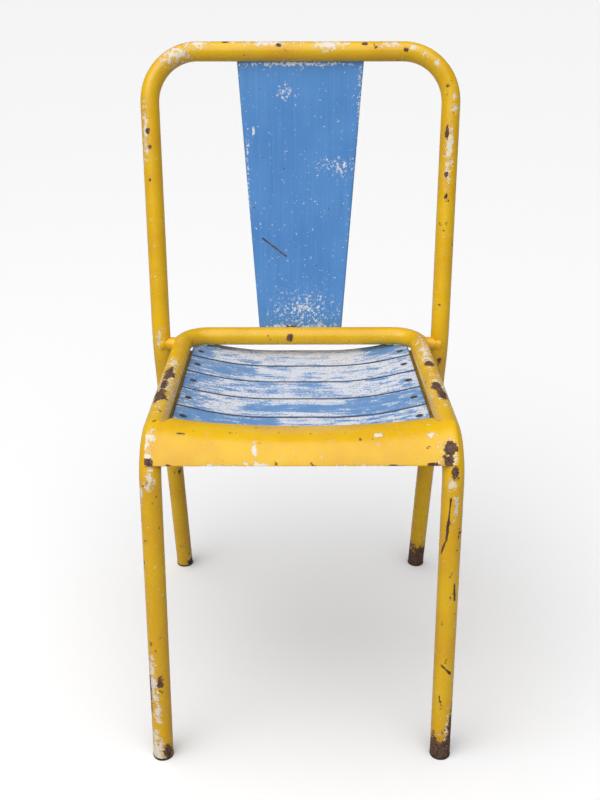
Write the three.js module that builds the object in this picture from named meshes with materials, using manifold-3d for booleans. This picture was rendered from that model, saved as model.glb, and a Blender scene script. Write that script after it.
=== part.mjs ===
// Stacking chair: two bent steel tubes, a sheet steel apron and splat, and five dished slats.
// Millimetres, +Z up, the seat faces -Y, left is -X. The origin is on the floor, mid-footprint.

import * as THREE from 'three';
import { mergeVertices } from 'three/addons/utils/BufferGeometryUtils.js';
import Module from 'manifold-3d';

const wasm = await Module();
wasm.setup();

// Tube
const tubeRadius = 12.5;
const tubeWall = 1.5;
const tubeSides = 16;
const bendStepAngle = THREE.MathUtils.degToRad(13);

// Back hoop: rear legs, uprights and top rail, all on the tube's centreline
const hoopTopSplay = 8.965;
const hoopTopHeight = 799;
const hoopTopDepth = 224.3;
const hoopCornerRadius = 65;
const hoopSeatHeight = 420;
const hoopAheadOfRail = 28.7;
const hoopSeatRadius = 120;
const rearFootInset = 3.535;
const rearFootDepth = 224.3;

// Seat frame: front legs, knees, side rails and rear rail, all on the centreline
const frontFootSplay = 5.3;
const frontFootDepth = -224.3;
const kneeHalfWidth = 170.5;
const kneeHeight = 424.5;
const kneeDepth = -199.6;
const kneeRadius = 48;
const railTaper = 5.5;
const rearRailHeight = 422;
const rearRailDepth = 163;
const rearCornerRadius = 35;

// Slats, numbered from the front
const slatCount = 5;
const slatThickness = 7.7;
const rearSlatShown = 39.5;
const rearSlatUnderRail = 9;
const rearSlatChamfer = 10;
const slatSpacing = 2.4;
const slatEndTilt = THREE.MathUtils.degToRad(14);
const slatFlatHalfLength = 37;
const slatDishRadius = 376;
const slatEdgeRound = 1.5;
const slatEndClearance = 0.5;
const slatFrontClearance = 1.2;

// Slat support bars, welded under the side rails
const supportWidth = 40;
const supportThickness = 3;
const supportOverhang = 4;
const supportFrontClearance = 2;
const supportRearClearance = 4;

// Fasteners at the slat ends
const screwFromSlatEnd = 13;
const screwRadius = 2.5;
const screwClearance = 0.45;
const screwHeadRim = 2.1;
const screwHeadHeight = 2.4;
const screwHeadSunk = 0.3;
const screwHeadEdge = 0.3;
const screwTipChamfer = 0.5;
const screwSlotWidth = 1.2;
const screwSlotDepth = 1;
const screwTailLength = 2;
const washerRim = 2.05;
const washerThickness = 1;
const nutWall = 1.05;
const nutThickness = 4;
const smallSides = 12;

// Front apron: sheet steel wrapped over the knees, its top pressed down in the middle
const sheetThickness = 1.5;
const apronEndPastCentre = 5.5;
const apronBottomAngle = THREE.MathUtils.degToRad(27);
const apronTubeEndAngle = THREE.MathUtils.degToRad(85);
const apronCrestDip = 12.5;
const apronDipPower = 2.3;
const apronDipSpread = 1.15;
const apronBehindKnee = 78.9;
const apronFit = 0.5;
const apronNotchClearance = 9;
const apronNotchLap = 5;
const apronLip = 1.8;
const apronFlangeTurn = THREE.MathUtils.degToRad(11.5);
const apronFlangeHandle = 0.4;
const apronColumns = 36;
const apronColumnCrowding = 1.7;
const apronFaceRows = 10;
const apronFlangeRows = 4;

// Back splat: tapered sheet steel with turned-back edges
const splatTopHalfWidth = 85.5;
const splatBottomHalfWidth = 58;
const splatBelowRail = 10;
const splatEdgeReturn = 7;
const splatBendRadius = 3;

// Frame lugs and foot glides
const lugRadius = 9;
const lugGap = 5.1;
const glideHeight = 3;
const glideOverhang = 0.4;
const plugHeight = 16;
const plugClearance = 0.6;

// Clearances between pieces that touch on the real chair
const weldGap = 0.3;
const restGap = 0.5;

// Places that follow from the sizes above
const frontFootHalfWidth = kneeHalfWidth + frontFootSplay;
const rearRailHalfWidth = kneeHalfWidth - railTaper;
const hoopSeatDepth = rearRailDepth - hoopAheadOfRail;
const hoopSeatHalfWidth = railAt(hoopSeatDepth).halfWidth + 2 * tubeRadius + lugGap;
const hoopTopHalfWidth = hoopSeatHalfWidth + hoopTopSplay;
const rearFootHalfWidth = hoopSeatHalfWidth - rearFootInset;
const apronRearDepth = kneeDepth + apronBehindKnee;
const openingRear = rearRailDepth - tubeRadius - slatEndClearance;
const firstSlatDepth = apronRearDepth + slatFrontClearance;
const slatRoom = openingRear - firstSlatDepth - rearSlatShown;
const slatWidth = slatRoom / (slatCount - 1) - slatSpacing;
const screwHoleRadius = screwRadius + screwClearance;
const screwHeadRadius = screwRadius + screwHeadRim;

// Finishes
const yellowPaint = { color: 0xe6b416, roughness: 0.4, metalness: 0 };
const splatPaint = { color: 0x5b88c4, roughness: 0.45, metalness: 0 };
const slatPaint = { color: 0x7d9cc8, roughness: 0.6, metalness: 0 };
const zincSteel = { color: 0x8d8f90, roughness: 0.45, metalness: 1 };
const wornSteel = { color: 0x4b423b, roughness: 0.6, metalness: 0.8 };

const chair = new THREE.Group();

function addNode(name, geometry, finish, parent = chair) {
  const mesh = new THREE.Mesh(geometry, new THREE.MeshStandardMaterial(finish));
  mesh.name = name;
  parent.add(mesh);
  return mesh;
}

// Solids, for joining and cutting

function toSolid(geometry) {
  const bare = geometry.clone();
  bare.deleteAttribute('normal');
  bare.deleteAttribute('uv');
  const merged = mergeVertices(bare, 1e-4);
  return new wasm.Manifold(new wasm.Mesh({
    numProp: 3,
    vertProperties: new Float32Array(merged.attributes.position.array),
    triVerts: new Uint32Array(merged.index.array),
  }));
}

function toGeometry(solid) {
  const mesh = solid.getMesh();
  const geometry = new THREE.BufferGeometry();
  geometry.setAttribute('position', new THREE.BufferAttribute(mesh.vertProperties, 3));
  geometry.setIndex(new THREE.BufferAttribute(mesh.triVerts, 1));
  geometry.computeVertexNormals();
  return geometry;
}

function slab(low, high) {
  const reach = 2000;
  const box = new THREE.BoxGeometry(reach, reach, high - low);
  box.translate(0, 0, (low + high) / 2);
  return toSolid(box);
}

function ringPoints(radius, sides) {
  const points = [];
  for (let i = 0; i < sides; i += 1) {
    const angle = (i / sides) * 2 * Math.PI;
    points.push(new THREE.Vector2(radius * Math.cos(angle), radius * Math.sin(angle)));
  }
  return points;
}

// A solid turned about Z from (radius, height) pairs
function turned(pairs, sides) {
  const profile = pairs.map(([radius, height]) => new THREE.Vector2(radius, height));
  return new THREE.LatheGeometry(profile, sides).rotateX(Math.PI / 2);
}

// A rod of the given radius between two points
function rodBetween(start, end, radius, sides) {
  const line = new THREE.LineCurve3(start, end);
  return new THREE.ExtrudeGeometry(new THREE.Shape(ringPoints(radius, sides)), {
    steps: 1,
    extrudePath: line,
  });
}

// Bent tubes

// Straight runs through the corners, each rounded to its own radius
class BentRoute extends THREE.Curve {
  constructor(corners, radii) {
    super();
    this.stations = [];
    this.addStation(corners[0], corners[1].clone().sub(corners[0]));
    radii.forEach((radius, i) => this.addBend(corners[i], corners[i + 1], corners[i + 2], radius));
    const last = corners.length - 1;
    this.addStation(corners[last], corners[last].clone().sub(corners[last - 1]));
  }

  addStation(point, direction) {
    this.stations.push({ point: point.clone(), tangent: direction.clone().normalize() });
  }

  addBend(before, corner, after, radius) {
    const inward = corner.clone().sub(before).normalize();
    const outward = after.clone().sub(corner).normalize();
    const turn = inward.angleTo(outward);
    const reach = radius * Math.tan(turn / 2);
    const start = corner.clone().addScaledVector(inward, -reach);
    const side = outward.clone().addScaledVector(inward, -inward.dot(outward)).normalize();
    const steps = Math.max(2, Math.round(turn / bendStepAngle));
    for (let i = 0; i <= steps; i += 1) {
      const angle = (turn * i) / steps;
      const point = start.clone()
        .addScaledVector(inward, radius * Math.sin(angle))
        .addScaledVector(side, radius * (1 - Math.cos(angle)));
      const tangent = inward.clone().multiplyScalar(Math.cos(angle))
        .addScaledVector(side, Math.sin(angle));
      this.addStation(point, tangent);
    }
  }

  get steps() {
    return this.stations.length - 1;
  }

  stationAt(share) {
    return this.stations[Math.round(share * this.steps)];
  }

  getPointAt(share, target = new THREE.Vector3()) {
    return target.copy(this.stationAt(share).point);
  }

  getTangentAt(share, target = new THREE.Vector3()) {
    return target.copy(this.stationAt(share).tangent);
  }
}

function sweep(route, outerRadius, innerRadius = 0) {
  const section = new THREE.Shape(ringPoints(outerRadius, tubeSides));
  if (innerRadius > 0) {
    section.holes.push(new THREE.Path(ringPoints(innerRadius, tubeSides)));
  }
  return new THREE.ExtrudeGeometry(section, { steps: route.steps, extrudePath: route });
}

function mirrored(points) {
  const right = points.map((p) => new THREE.Vector3(-p.x, p.y, p.z)).reverse();
  return [...points, ...right];
}

const hoopCorners = mirrored([
  new THREE.Vector3(-rearFootHalfWidth, rearFootDepth, 0),
  new THREE.Vector3(-hoopSeatHalfWidth, hoopSeatDepth, hoopSeatHeight),
  new THREE.Vector3(-hoopTopHalfWidth, hoopTopDepth, hoopTopHeight),
]);
const hoopRoute = new BentRoute(
  hoopCorners,
  [hoopSeatRadius, hoopCornerRadius, hoopCornerRadius, hoopSeatRadius],
);

const frameCorners = mirrored([
  new THREE.Vector3(-frontFootHalfWidth, frontFootDepth, 0),
  new THREE.Vector3(-kneeHalfWidth, kneeDepth, kneeHeight),
  new THREE.Vector3(-rearRailHalfWidth, rearRailDepth, rearRailHeight),
]);
const frameRoute = new BentRoute(
  frameCorners,
  [kneeRadius, rearCornerRadius, rearCornerRadius, kneeRadius],
);

// Both tubes are cut level above the glides
function makeTube(route) {
  const pipe = toSolid(sweep(route, tubeRadius, tubeRadius - tubeWall));
  return toGeometry(pipe.subtract(slab(-tubeRadius, glideHeight + weldGap)));
}

// The side rail's centreline at a given depth
function railAt(depth) {
  const share = (depth - kneeDepth) / (rearRailDepth - kneeDepth);
  return {
    halfWidth: THREE.MathUtils.lerp(kneeHalfWidth, rearRailHalfWidth, share),
    height: THREE.MathUtils.lerp(kneeHeight, rearRailHeight, share),
  };
}

// Seat: the supports touch the rails from below, and the slats rest on the supports

// Height of the support bars' upper face
function supportTop(x, depth) {
  const rail = railAt(depth);
  const sideways = (x - rail.halfWidth) * Math.sin(slatEndTilt);
  return rail.height + (sideways - tubeRadius - weldGap) / Math.cos(slatEndTilt);
}

function slatStart(number) {
  return firstSlatDepth + (number - 1) * (slatWidth + slatSpacing);
}

function slatMiddle(number) {
  const front = slatStart(number);
  return (front + Math.min(front + slatWidth, openingRear)) / 2;
}

const dishEnd = slatFlatHalfLength + slatDishRadius * Math.sin(slatEndTilt);
const dishRise = slatDishRadius * (1 - Math.cos(slatEndTilt));

// Height of the slat's upper face above its middle
function slatRise(x) {
  const distance = Math.abs(x);
  if (distance <= slatFlatHalfLength) {
    return 0;
  }
  if (distance >= dishEnd) {
    return dishRise + (distance - dishEnd) * Math.tan(slatEndTilt);
  }
  const along = distance - slatFlatHalfLength;
  return slatDishRadius - Math.sqrt(slatDishRadius ** 2 - along ** 2);
}

// Height of the slat's upper face at its middle, with its ends resting on the supports
function slatMiddleHeight(depth) {
  const bottom = supportTop(dishEnd, depth) + restGap;
  return bottom + slatThickness / Math.cos(slatEndTilt) - dishRise;
}

// Half of a slat's long profile: upper face from the middle outwards, then back underneath
function slatHalfProfile(reach) {
  const arcSteps = 6;
  const upper = [];
  for (let i = 0; i <= arcSteps; i += 1) {
    const angle = (slatEndTilt * i) / arcSteps;
    upper.push({ x: slatFlatHalfLength + slatDishRadius * Math.sin(angle), angle });
  }
  upper.push({ x: reach, angle: slatEndTilt });
  const top = upper.map(({ x }) => new THREE.Vector2(x, slatRise(x)));
  const under = upper.map(({ angle }, i) => new THREE.Vector2(
    top[i].x + slatThickness * Math.sin(angle),
    top[i].y - slatThickness * Math.cos(angle),
  ));
  return [...top, ...under.reverse()];
}

// How far the rear slat's edge stays from the rear tube's centreline, at a distance x from the
// middle. The tube narrows towards the slat's upper face, which lies below the centreline.
function scribedInset(x) {
  const room = tubeRadius + slatEndClearance;
  const top = slatMiddleHeight(slatMiddle(slatCount)) + slatRise(x);
  return Math.sqrt(Math.max(0, room ** 2 - (rearRailHeight - top) ** 2));
}

// The rear slat's back edge on one side: round the tube's corner, then under the rear rail
function rearEdgePoints() {
  const cornerX = rearRailHalfWidth - rearCornerRadius;
  const cornerY = rearRailDepth - rearCornerRadius;
  const sideReach = rearCornerRadius - tubeRadius - slatEndClearance;
  const cornerSteps = 6;
  const points = [];
  for (let i = 0; i <= cornerSteps; i += 1) {
    const angle = THREE.MathUtils.lerp(Math.PI / 6, Math.PI / 2, i / cornerSteps);
    const reach = rearCornerRadius - scribedInset(cornerX + rearCornerRadius * Math.cos(angle));
    const x = Math.min(cornerX + sideReach, cornerX + reach * Math.cos(angle));
    points.push(new THREE.Vector2(x, cornerY + reach * Math.sin(angle)));
  }
  const chamferX = cornerX - rearSlatChamfer;
  points.push(new THREE.Vector2(chamferX, rearRailDepth + rearSlatUnderRail));
  return points;
}

// The plan of the seat opening, a clearance inside the frame tube
function openingPlan() {
  const inset = tubeRadius + slatEndClearance;
  const front = railAt(apronRearDepth);
  const right = [
    new THREE.Vector2(front.halfWidth - inset, apronRearDepth),
    ...rearEdgePoints(),
  ];
  const left = right.map((p) => new THREE.Vector2(-p.x, p.y)).reverse();
  return new THREE.Shape([...right, ...left]);
}

function openingSolid() {
  const depth = 2 * kneeRadius;
  const prism = new THREE.ExtrudeGeometry(openingPlan(), {
    depth,
    bevelEnabled: false,
  });
  prism.translate(0, 0, kneeHeight - depth / 2);
  return toSolid(prism);
}

// The upright line of a slat screw: origin on the slat's upper face, Z out of the face
function screwFrame(number, side) {
  const depth = slatMiddle(number);
  const end = railAt(depth).halfWidth - tubeRadius - slatEndClearance;
  const x = end - screwFromSlatEnd * Math.cos(slatEndTilt);
  const frame = new THREE.Object3D();
  frame.position.set(side * x, depth, slatMiddleHeight(depth) + slatRise(x));
  frame.rotation.y = -side * slatEndTilt;
  frame.updateMatrix();
  return frame.matrix;
}

// Clearance hole and countersink for one screw
function screwHole(number, side) {
  const sink = restGap;
  const coneBottom = -screwHeadHeight - screwHeadSunk - sink;
  const reach = slatThickness * 3;
  const hole = turned([
    [0, -reach],
    [screwHoleRadius, -reach],
    [screwHoleRadius, coneBottom],
    [screwHeadRadius + sink, -screwHeadSunk - sink],
    [screwHeadRadius + sink, reach],
    [0, reach],
  ], smallSides);
  return toSolid(hole.applyMatrix4(screwFrame(number, side)));
}

function makeSlat(number, opening) {
  const rearSlatExtra = rearRailDepth + rearSlatUnderRail - openingRear;
  const width = number === slatCount ? rearSlatShown + rearSlatExtra : slatWidth;
  const half = slatHalfProfile(kneeHalfWidth);
  const other = half.map((p) => new THREE.Vector2(-p.x, p.y)).reverse();
  const outline = new THREE.Shape([...half, ...other]);
  const bar = new THREE.ExtrudeGeometry(outline, {
    depth: width - 2 * slatEdgeRound,
    bevelThickness: slatEdgeRound,
    bevelSize: slatEdgeRound,
    bevelOffset: -slatEdgeRound,
    bevelSegments: 1,
  });
  bar.rotateX(Math.PI / 2);
  bar.translate(0, slatStart(number) + width - slatEdgeRound, 0);
  bar.translate(0, 0, slatMiddleHeight(slatMiddle(number)));
  let solid = toSolid(bar).intersect(opening);
  for (const side of [-1, 1]) {
    solid = solid.subtract(screwHole(number, side));
  }
  return toGeometry(solid);
}

// A flat bar along the side rail, tilted as the slat ends are
function makeSupport(side) {
  const front = apronRearDepth + supportFrontClearance;
  const rear = openingRear - supportRearClearance;
  const pointOnTop = (depth, across) => {
    const x = railAt(depth).halfWidth + supportOverhang - across * Math.cos(slatEndTilt);
    return new THREE.Vector3(side * x, depth, supportTop(x, depth));
  };
  const start = pointOnTop(front, supportWidth / 2);
  const end = pointOnTop(rear, supportWidth / 2);
  const along = end.clone().sub(start);
  const outward = new THREE.Vector3(side * Math.cos(slatEndTilt), 0, Math.sin(slatEndTilt));
  const up = outward.cross(along).normalize().multiplyScalar(side);
  const bar = new THREE.BoxGeometry(supportWidth, along.length(), supportThickness);
  bar.translate(0, along.length() / 2, -supportThickness / 2);
  along.normalize();
  const pose = new THREE.Matrix4().makeBasis(along.clone().cross(up), along, up);
  bar.applyMatrix4(pose.setPosition(start));
  let solid = toSolid(bar);
  for (let number = 1; number <= slatCount; number += 1) {
    solid = solid.subtract(screwHole(number, side));
  }
  return toGeometry(solid);
}

// Fasteners, modelled about Z with the slat's upper face at zero

function makeScrew() {
  const top = -screwHeadSunk;
  const grip = slatThickness + restGap + supportThickness + washerThickness + nutThickness;
  const end = -(grip + 2 * weldGap + screwTailLength);
  const body = turned([
    [0, end],
    [screwRadius - screwTipChamfer, end],
    [screwRadius, end + screwTipChamfer],
    [screwRadius, top - screwHeadHeight],
    [screwHeadRadius, top - screwHeadEdge],
    [screwHeadRadius, top],
    [0, top],
  ], smallSides);
  const slot = new THREE.BoxGeometry(4 * screwHeadRadius, screwSlotWidth, 2 * screwSlotDepth);
  slot.translate(0, 0, top);
  return toGeometry(toSolid(body).subtract(toSolid(slot)));
}

const washerTop = -(slatThickness + restGap + supportThickness + weldGap);
const nutTop = washerTop - washerThickness - weldGap;

function makeWasher() {
  const plan = new THREE.Shape(ringPoints(screwHoleRadius + washerRim, smallSides));
  plan.holes.push(new THREE.Path(ringPoints(screwHoleRadius, smallSides)));
  const ring = new THREE.ExtrudeGeometry(plan, { depth: washerThickness, bevelEnabled: false });
  return ring.translate(0, 0, washerTop - washerThickness);
}

function makeNut() {
  const cornerRadius = (screwHoleRadius + nutWall) / Math.cos(Math.PI / 6);
  const plan = new THREE.Shape(ringPoints(cornerRadius, 6));
  plan.holes.push(new THREE.Path(ringPoints(screwHoleRadius, smallSides)));
  const block = new THREE.ExtrudeGeometry(plan, { depth: nutThickness, bevelEnabled: false });
  return block.translate(0, 0, nutTop - nutThickness);
}

// Front apron

// The knee bend's axis, from the tangent lengths of the bend
function kneeAxis() {
  const knee = frameCorners[1];
  const toFoot = frameCorners[0].clone().sub(knee).normalize();
  const toRear = frameCorners[2].clone().sub(knee).normalize();
  const halfAngle = toFoot.angleTo(toRear) / 2;
  const middle = toFoot.add(toRear).normalize();
  return knee.clone().addScaledVector(middle, kneeRadius / Math.sin(halfAngle));
}

// How far a point at a distance x from the middle is past the tubes' inner sides, 0 to 1
function overTube(x) {
  const innerSide = kneeHalfWidth - tubeRadius;
  const from = innerSide - apronNotchClearance;
  return THREE.MathUtils.smoothstep(Math.abs(x), from, innerSide + apronNotchLap);
}

// One cross profile of the apron's outer face, at a distance x from the middle
function apronProfile(x) {
  const axis = kneeAxis();
  const wrap = tubeRadius + apronFit + sheetThickness;
  const past = Math.max(0, Math.abs(x) - kneeHalfWidth);
  const radius = kneeRadius + Math.sqrt(wrap ** 2 - past ** 2);
  const inner = Math.min(1, Math.abs(x) / kneeHalfWidth);
  const dip = apronCrestDip * (1 - inner ** apronDipPower);
  const tubeCrest = apronTubeEndAngle - apronFlangeTurn;
  const crestAngle = THREE.MathUtils.lerp(Math.PI / 2, tubeCrest, overTube(x));
  const profile = [];
  for (let i = 0; i <= apronFaceRows; i += 1) {
    const share = i / apronFaceRows;
    const angle = THREE.MathUtils.lerp(apronBottomAngle, crestAngle, share);
    const reach = radius - dip * THREE.MathUtils.smoothstep(share, 0, apronDipSpread);
    profile.push({ y: axis.y - reach * Math.cos(angle), z: axis.z + reach * Math.sin(angle) });
  }
  return addFlange(profile, apronRear(x, axis, radius));
}

// The sheet's rear edge: just above the front slat between the tubes, and on top of each tube
function apronRear(x, axis, radius) {
  const tubeEnd = {
    y: axis.y - radius * Math.cos(apronTubeEndAngle),
    z: axis.z + radius * Math.sin(apronTubeEndAngle),
  };
  const slatTop = slatMiddleHeight(slatMiddle(1)) + slatRise(x);
  return {
    y: THREE.MathUtils.lerp(apronRearDepth, tubeEnd.y, overTube(x)),
    z: THREE.MathUtils.lerp(slatTop + apronLip, tubeEnd.z, overTube(x)),
  };
}

// The flange leaves the crest on a curve and runs down to its rear edge
function addFlange(profile, rear) {
  const crest = profile[profile.length - 1];
  const before = profile[profile.length - 2];
  const run = Math.hypot(rear.y - crest.y, rear.z - crest.z);
  const step = Math.hypot(crest.y - before.y, crest.z - before.z);
  const reach = (run * apronFlangeHandle) / step;
  const bend = {
    y: crest.y + (crest.y - before.y) * reach,
    z: crest.z + (crest.z - before.z) * reach,
  };
  const mix = (a, b, c, t) => a * (1 - t) ** 2 + 2 * b * t * (1 - t) + c * t ** 2;
  const flange = [];
  for (let i = 1; i <= apronFlangeRows; i += 1) {
    const t = i / apronFlangeRows;
    flange.push({ y: mix(crest.y, bend.y, rear.y, t), z: mix(crest.z, bend.z, rear.z, t) });
  }
  return [...profile, ...flange];
}

// Columns crowd towards the tubes, where the sheet bends most
function apronColumnX(i) {
  const end = kneeHalfWidth + apronEndPastCentre;
  const share = (2 * i) / apronColumns - 1;
  return end * Math.sign(share) * (1 - (1 - Math.abs(share)) ** apronColumnCrowding);
}

function makeApron() {
  const outer = [];
  for (let i = 0; i <= apronColumns; i += 1) {
    const x = apronColumnX(i);
    outer.push(apronProfile(x).map(({ y, z }) => new THREE.Vector3(x, y, z)));
  }
  return toGeometry(toSolid(thickSheet(outer, sheetThickness)));
}

// A closed sheet: the grid is its outer face, and the inner face lies one thickness below
function thickSheet(grid, thickness) {
  const columns = grid.length;
  const rows = grid[0].length;
  const inner = grid.map((column, i) => column.map((point, j) => {
    const left = grid[Math.max(i - 1, 0)][j];
    const right = grid[Math.min(i + 1, columns - 1)][j];
    const below = column[Math.max(j - 1, 0)];
    const above = column[Math.min(j + 1, rows - 1)];
    const normal = right.clone().sub(left).cross(above.clone().sub(below)).normalize();
    return point.clone().addScaledVector(normal, -thickness);
  }));
  const positions = [...grid.flat(), ...inner.flat()].flatMap((p) => [p.x, p.y, p.z]);
  const outerAt = (i, j) => i * rows + j;
  const innerAt = (i, j) => columns * rows + i * rows + j;
  const faces = [];
  const quad = (a, b, c, d) => faces.push(a, b, c, a, c, d);
  for (let i = 0; i < columns - 1; i += 1) {
    for (let j = 0; j < rows - 1; j += 1) {
      quad(outerAt(i, j), outerAt(i + 1, j), outerAt(i + 1, j + 1), outerAt(i, j + 1));
      quad(innerAt(i, j), innerAt(i, j + 1), innerAt(i + 1, j + 1), innerAt(i + 1, j));
    }
    quad(outerAt(i, 0), innerAt(i, 0), innerAt(i + 1, 0), outerAt(i + 1, 0));
    const top = rows - 1;
    quad(outerAt(i, top), outerAt(i + 1, top), innerAt(i + 1, top), innerAt(i, top));
  }
  for (let j = 0; j < rows - 1; j += 1) {
    const end = columns - 1;
    quad(outerAt(0, j), outerAt(0, j + 1), innerAt(0, j + 1), innerAt(0, j));
    quad(outerAt(end, j), innerAt(end, j), innerAt(end, j + 1), outerAt(end, j + 1));
  }
  const geometry = new THREE.BufferGeometry();
  geometry.setAttribute('position', new THREE.Float32BufferAttribute(positions, 3));
  geometry.setIndex(faces);
  return geometry;
}

// Back splat

// The sheet's cross-section: a flat front with both edges turned back
function splatSection(halfWidth) {
  const bend = splatBendRadius;
  const half = [];
  const corner = (radius, from, to, steps) => {
    for (let i = 0; i <= steps; i += 1) {
      const angle = THREE.MathUtils.lerp(from, to, i / steps);
      half.push([halfWidth - bend + radius * Math.sin(angle), bend - radius * Math.cos(angle)]);
    }
  };
  corner(bend, 0, Math.PI / 2, 3);
  half.push([halfWidth, splatEdgeReturn]);
  half.push([halfWidth - sheetThickness, splatEdgeReturn]);
  corner(bend - sheetThickness, Math.PI / 2, 0, 3);
  const other = half.map(([x, y]) => [-x, y]).reverse();
  return [...half, ...other];
}

function makeSplat() {
  const frontAtSeat = rearRailDepth + tubeRadius + weldGap;
  const lean = (hoopTopDepth - frontAtSeat) / (hoopTopHeight - rearRailHeight);
  const frontAt = (height) => frontAtSeat + (height - rearRailHeight) * lean;
  const sections = [
    { height: rearRailHeight - splatBelowRail, halfWidth: splatBottomHalfWidth },
    { height: hoopTopHeight, halfWidth: splatTopHalfWidth },
  ];
  const rings = sections.map(({ height, halfWidth }) => splatSection(halfWidth).map(
    ([x, y]) => new THREE.Vector3(x, frontAt(height) + y, height),
  ));
  const cap = THREE.ShapeUtils.triangulateShape(
    splatSection(splatBottomHalfWidth).map(([x, y]) => new THREE.Vector2(x, y)),
    [],
  );
  const count = rings[0].length;
  const faces = [];
  for (let i = 0; i < count; i += 1) {
    const next = (i + 1) % count;
    faces.push(i, next, count + next, i, count + next, count + i);
  }
  for (const [a, b, c] of cap) {
    faces.push(a, c, b, count + a, count + b, count + c);
  }
  const sheet = new THREE.BufferGeometry();
  const positions = rings.flat().flatMap((p) => [p.x, p.y, p.z]);
  sheet.setAttribute('position', new THREE.Float32BufferAttribute(positions, 3));
  sheet.setIndex(faces);
  const railRoom = toSolid(sweep(hoopRoute, tubeRadius + weldGap));
  const above = slab(hoopTopHeight, hoopTopHeight + tubeRadius);
  return toGeometry(toSolid(sheet).subtract(railRoom).subtract(above));
}

// Frame lugs and foot glides

// A short round spacer between seat frame and hoop, shaped to both tubes
function makeLug(side) {
  const rail = railAt(hoopSeatDepth);
  const height = (rail.height + hoopSeatHeight) / 2;
  const inside = new THREE.Vector3(side * rail.halfWidth, hoopSeatDepth, height);
  const outside = new THREE.Vector3(side * hoopSeatHalfWidth, hoopSeatDepth, height);
  const rod = toSolid(rodBetween(inside, outside, lugRadius, tubeSides));
  const frameRoom = toSolid(sweep(frameRoute, tubeRadius + weldGap));
  const hoopRoom = toSolid(sweep(hoopRoute, tubeRadius + weldGap));
  return toGeometry(rod.subtract(frameRoom).subtract(hoopRoom));
}

// A flat-bottomed steel glide with a plug that fills the tube's end
function makeGlide(foot, next) {
  const along = next.clone().sub(foot).normalize();
  const low = foot.clone().addScaledVector(along, -plugHeight);
  const high = foot.clone().addScaledVector(along, 2 * plugHeight);
  const rim = toSolid(rodBetween(low, high, tubeRadius + glideOverhang, tubeSides));
  const plugRadius = tubeRadius - tubeWall - plugClearance;
  const plug = toSolid(rodBetween(low, high, plugRadius, tubeSides));
  const disc = rim.intersect(slab(0, glideHeight));
  return toGeometry(disc.add(plug.intersect(slab(0, plugHeight))));
}

// Assembly

addNode('back_hoop', makeTube(hoopRoute), yellowPaint);
addNode('seat_frame', makeTube(frameRoute), yellowPaint);
addNode('front_apron', makeApron(), yellowPaint);
addNode('back_splat', makeSplat(), splatPaint);

const opening = openingSolid();
const screwGeometry = makeScrew();
const washerGeometry = makeWasher();
const nutGeometry = makeNut();
const sides = [['left', -1], ['right', 1]];

for (let number = 1; number <= slatCount; number += 1) {
  addNode(`slat_${number}`, makeSlat(number, opening), slatPaint);
  for (const [word, side] of sides) {
    const stack = new THREE.Group();
    screwFrame(number, side).decompose(stack.position, stack.quaternion, stack.scale);
    chair.add(stack);
    addNode(`slat_screw_${number}_${word}`, screwGeometry, zincSteel, stack);
    addNode(`slat_washer_${number}_${word}`, washerGeometry, zincSteel, stack);
    addNode(`slat_nut_${number}_${word}`, nutGeometry, zincSteel, stack);
  }
}

for (const [word, side] of sides) {
  addNode(`slat_support_${word}`, makeSupport(side), yellowPaint);
  addNode(`frame_lug_${word}`, makeLug(side), yellowPaint);
  const sided = (corner) => new THREE.Vector3(-side * corner.x, corner.y, corner.z);
  const frontGlide = makeGlide(sided(frameCorners[0]), sided(frameCorners[1]));
  const rearGlide = makeGlide(sided(hoopCorners[0]), sided(hoopCorners[1]));
  addNode(`foot_glide_front_${word}`, frontGlide, wornSteel);
  addNode(`foot_glide_rear_${word}`, rearGlide, wornSteel);
}

export default chair;
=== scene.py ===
from math import asin, ceil, cos, pi, radians, sin, sqrt, tan

import bmesh
import bpy
import numpy as np
from mathutils import Matrix, Vector, noise


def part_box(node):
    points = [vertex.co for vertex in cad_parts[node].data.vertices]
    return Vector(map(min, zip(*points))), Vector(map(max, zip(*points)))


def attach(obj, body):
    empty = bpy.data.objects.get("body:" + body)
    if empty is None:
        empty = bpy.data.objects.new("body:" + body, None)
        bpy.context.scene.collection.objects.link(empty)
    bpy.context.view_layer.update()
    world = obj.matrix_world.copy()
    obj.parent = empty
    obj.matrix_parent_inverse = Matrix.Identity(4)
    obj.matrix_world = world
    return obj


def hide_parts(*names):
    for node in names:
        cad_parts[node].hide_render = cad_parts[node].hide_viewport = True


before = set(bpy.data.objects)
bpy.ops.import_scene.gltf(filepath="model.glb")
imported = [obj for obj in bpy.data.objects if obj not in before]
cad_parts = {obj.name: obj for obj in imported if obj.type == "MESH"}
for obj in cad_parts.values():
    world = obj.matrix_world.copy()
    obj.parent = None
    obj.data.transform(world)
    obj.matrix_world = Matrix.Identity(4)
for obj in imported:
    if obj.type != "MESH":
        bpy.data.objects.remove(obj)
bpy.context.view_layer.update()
print("frame loaded:", len(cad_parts), "nodes")

sides = {"left": -1, "right": 1}

# the two bent tubes; places marked here are on the centreline
tube = {
    "radius": 0.0125,
    "sectionSides": 56,
    "bendStep": radians(4),
    "runStep": 0.002,
    "footGap": 0.0003,
}
hoop = {
    "cornerRadius": 0.065,
    "seatRadius": 0.120,
    "seatHeight": 0.420,
    "seatHalfWidth": 0.1955,
}
seat = {
    "kneeHalfWidth": 0.1705,
    "kneeHeight": 0.4245,
    "kneeDepth": -0.1996,
    "kneeRadius": 0.048,
    "rearHalfWidth": 0.165,
    "rearHeight": 0.422,
    "rearRadius": 0.035,
}


def boxCentre(node):
    low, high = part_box(node)
    return (low + high) / 2


def smoothStep(value, start, end):
    share = min(1.0, max(0.0, (value - start) / (end - start)))
    return share * share * (3 - 2 * share)


def mix(a, b, share):
    return a + (b - a) * share


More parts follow.
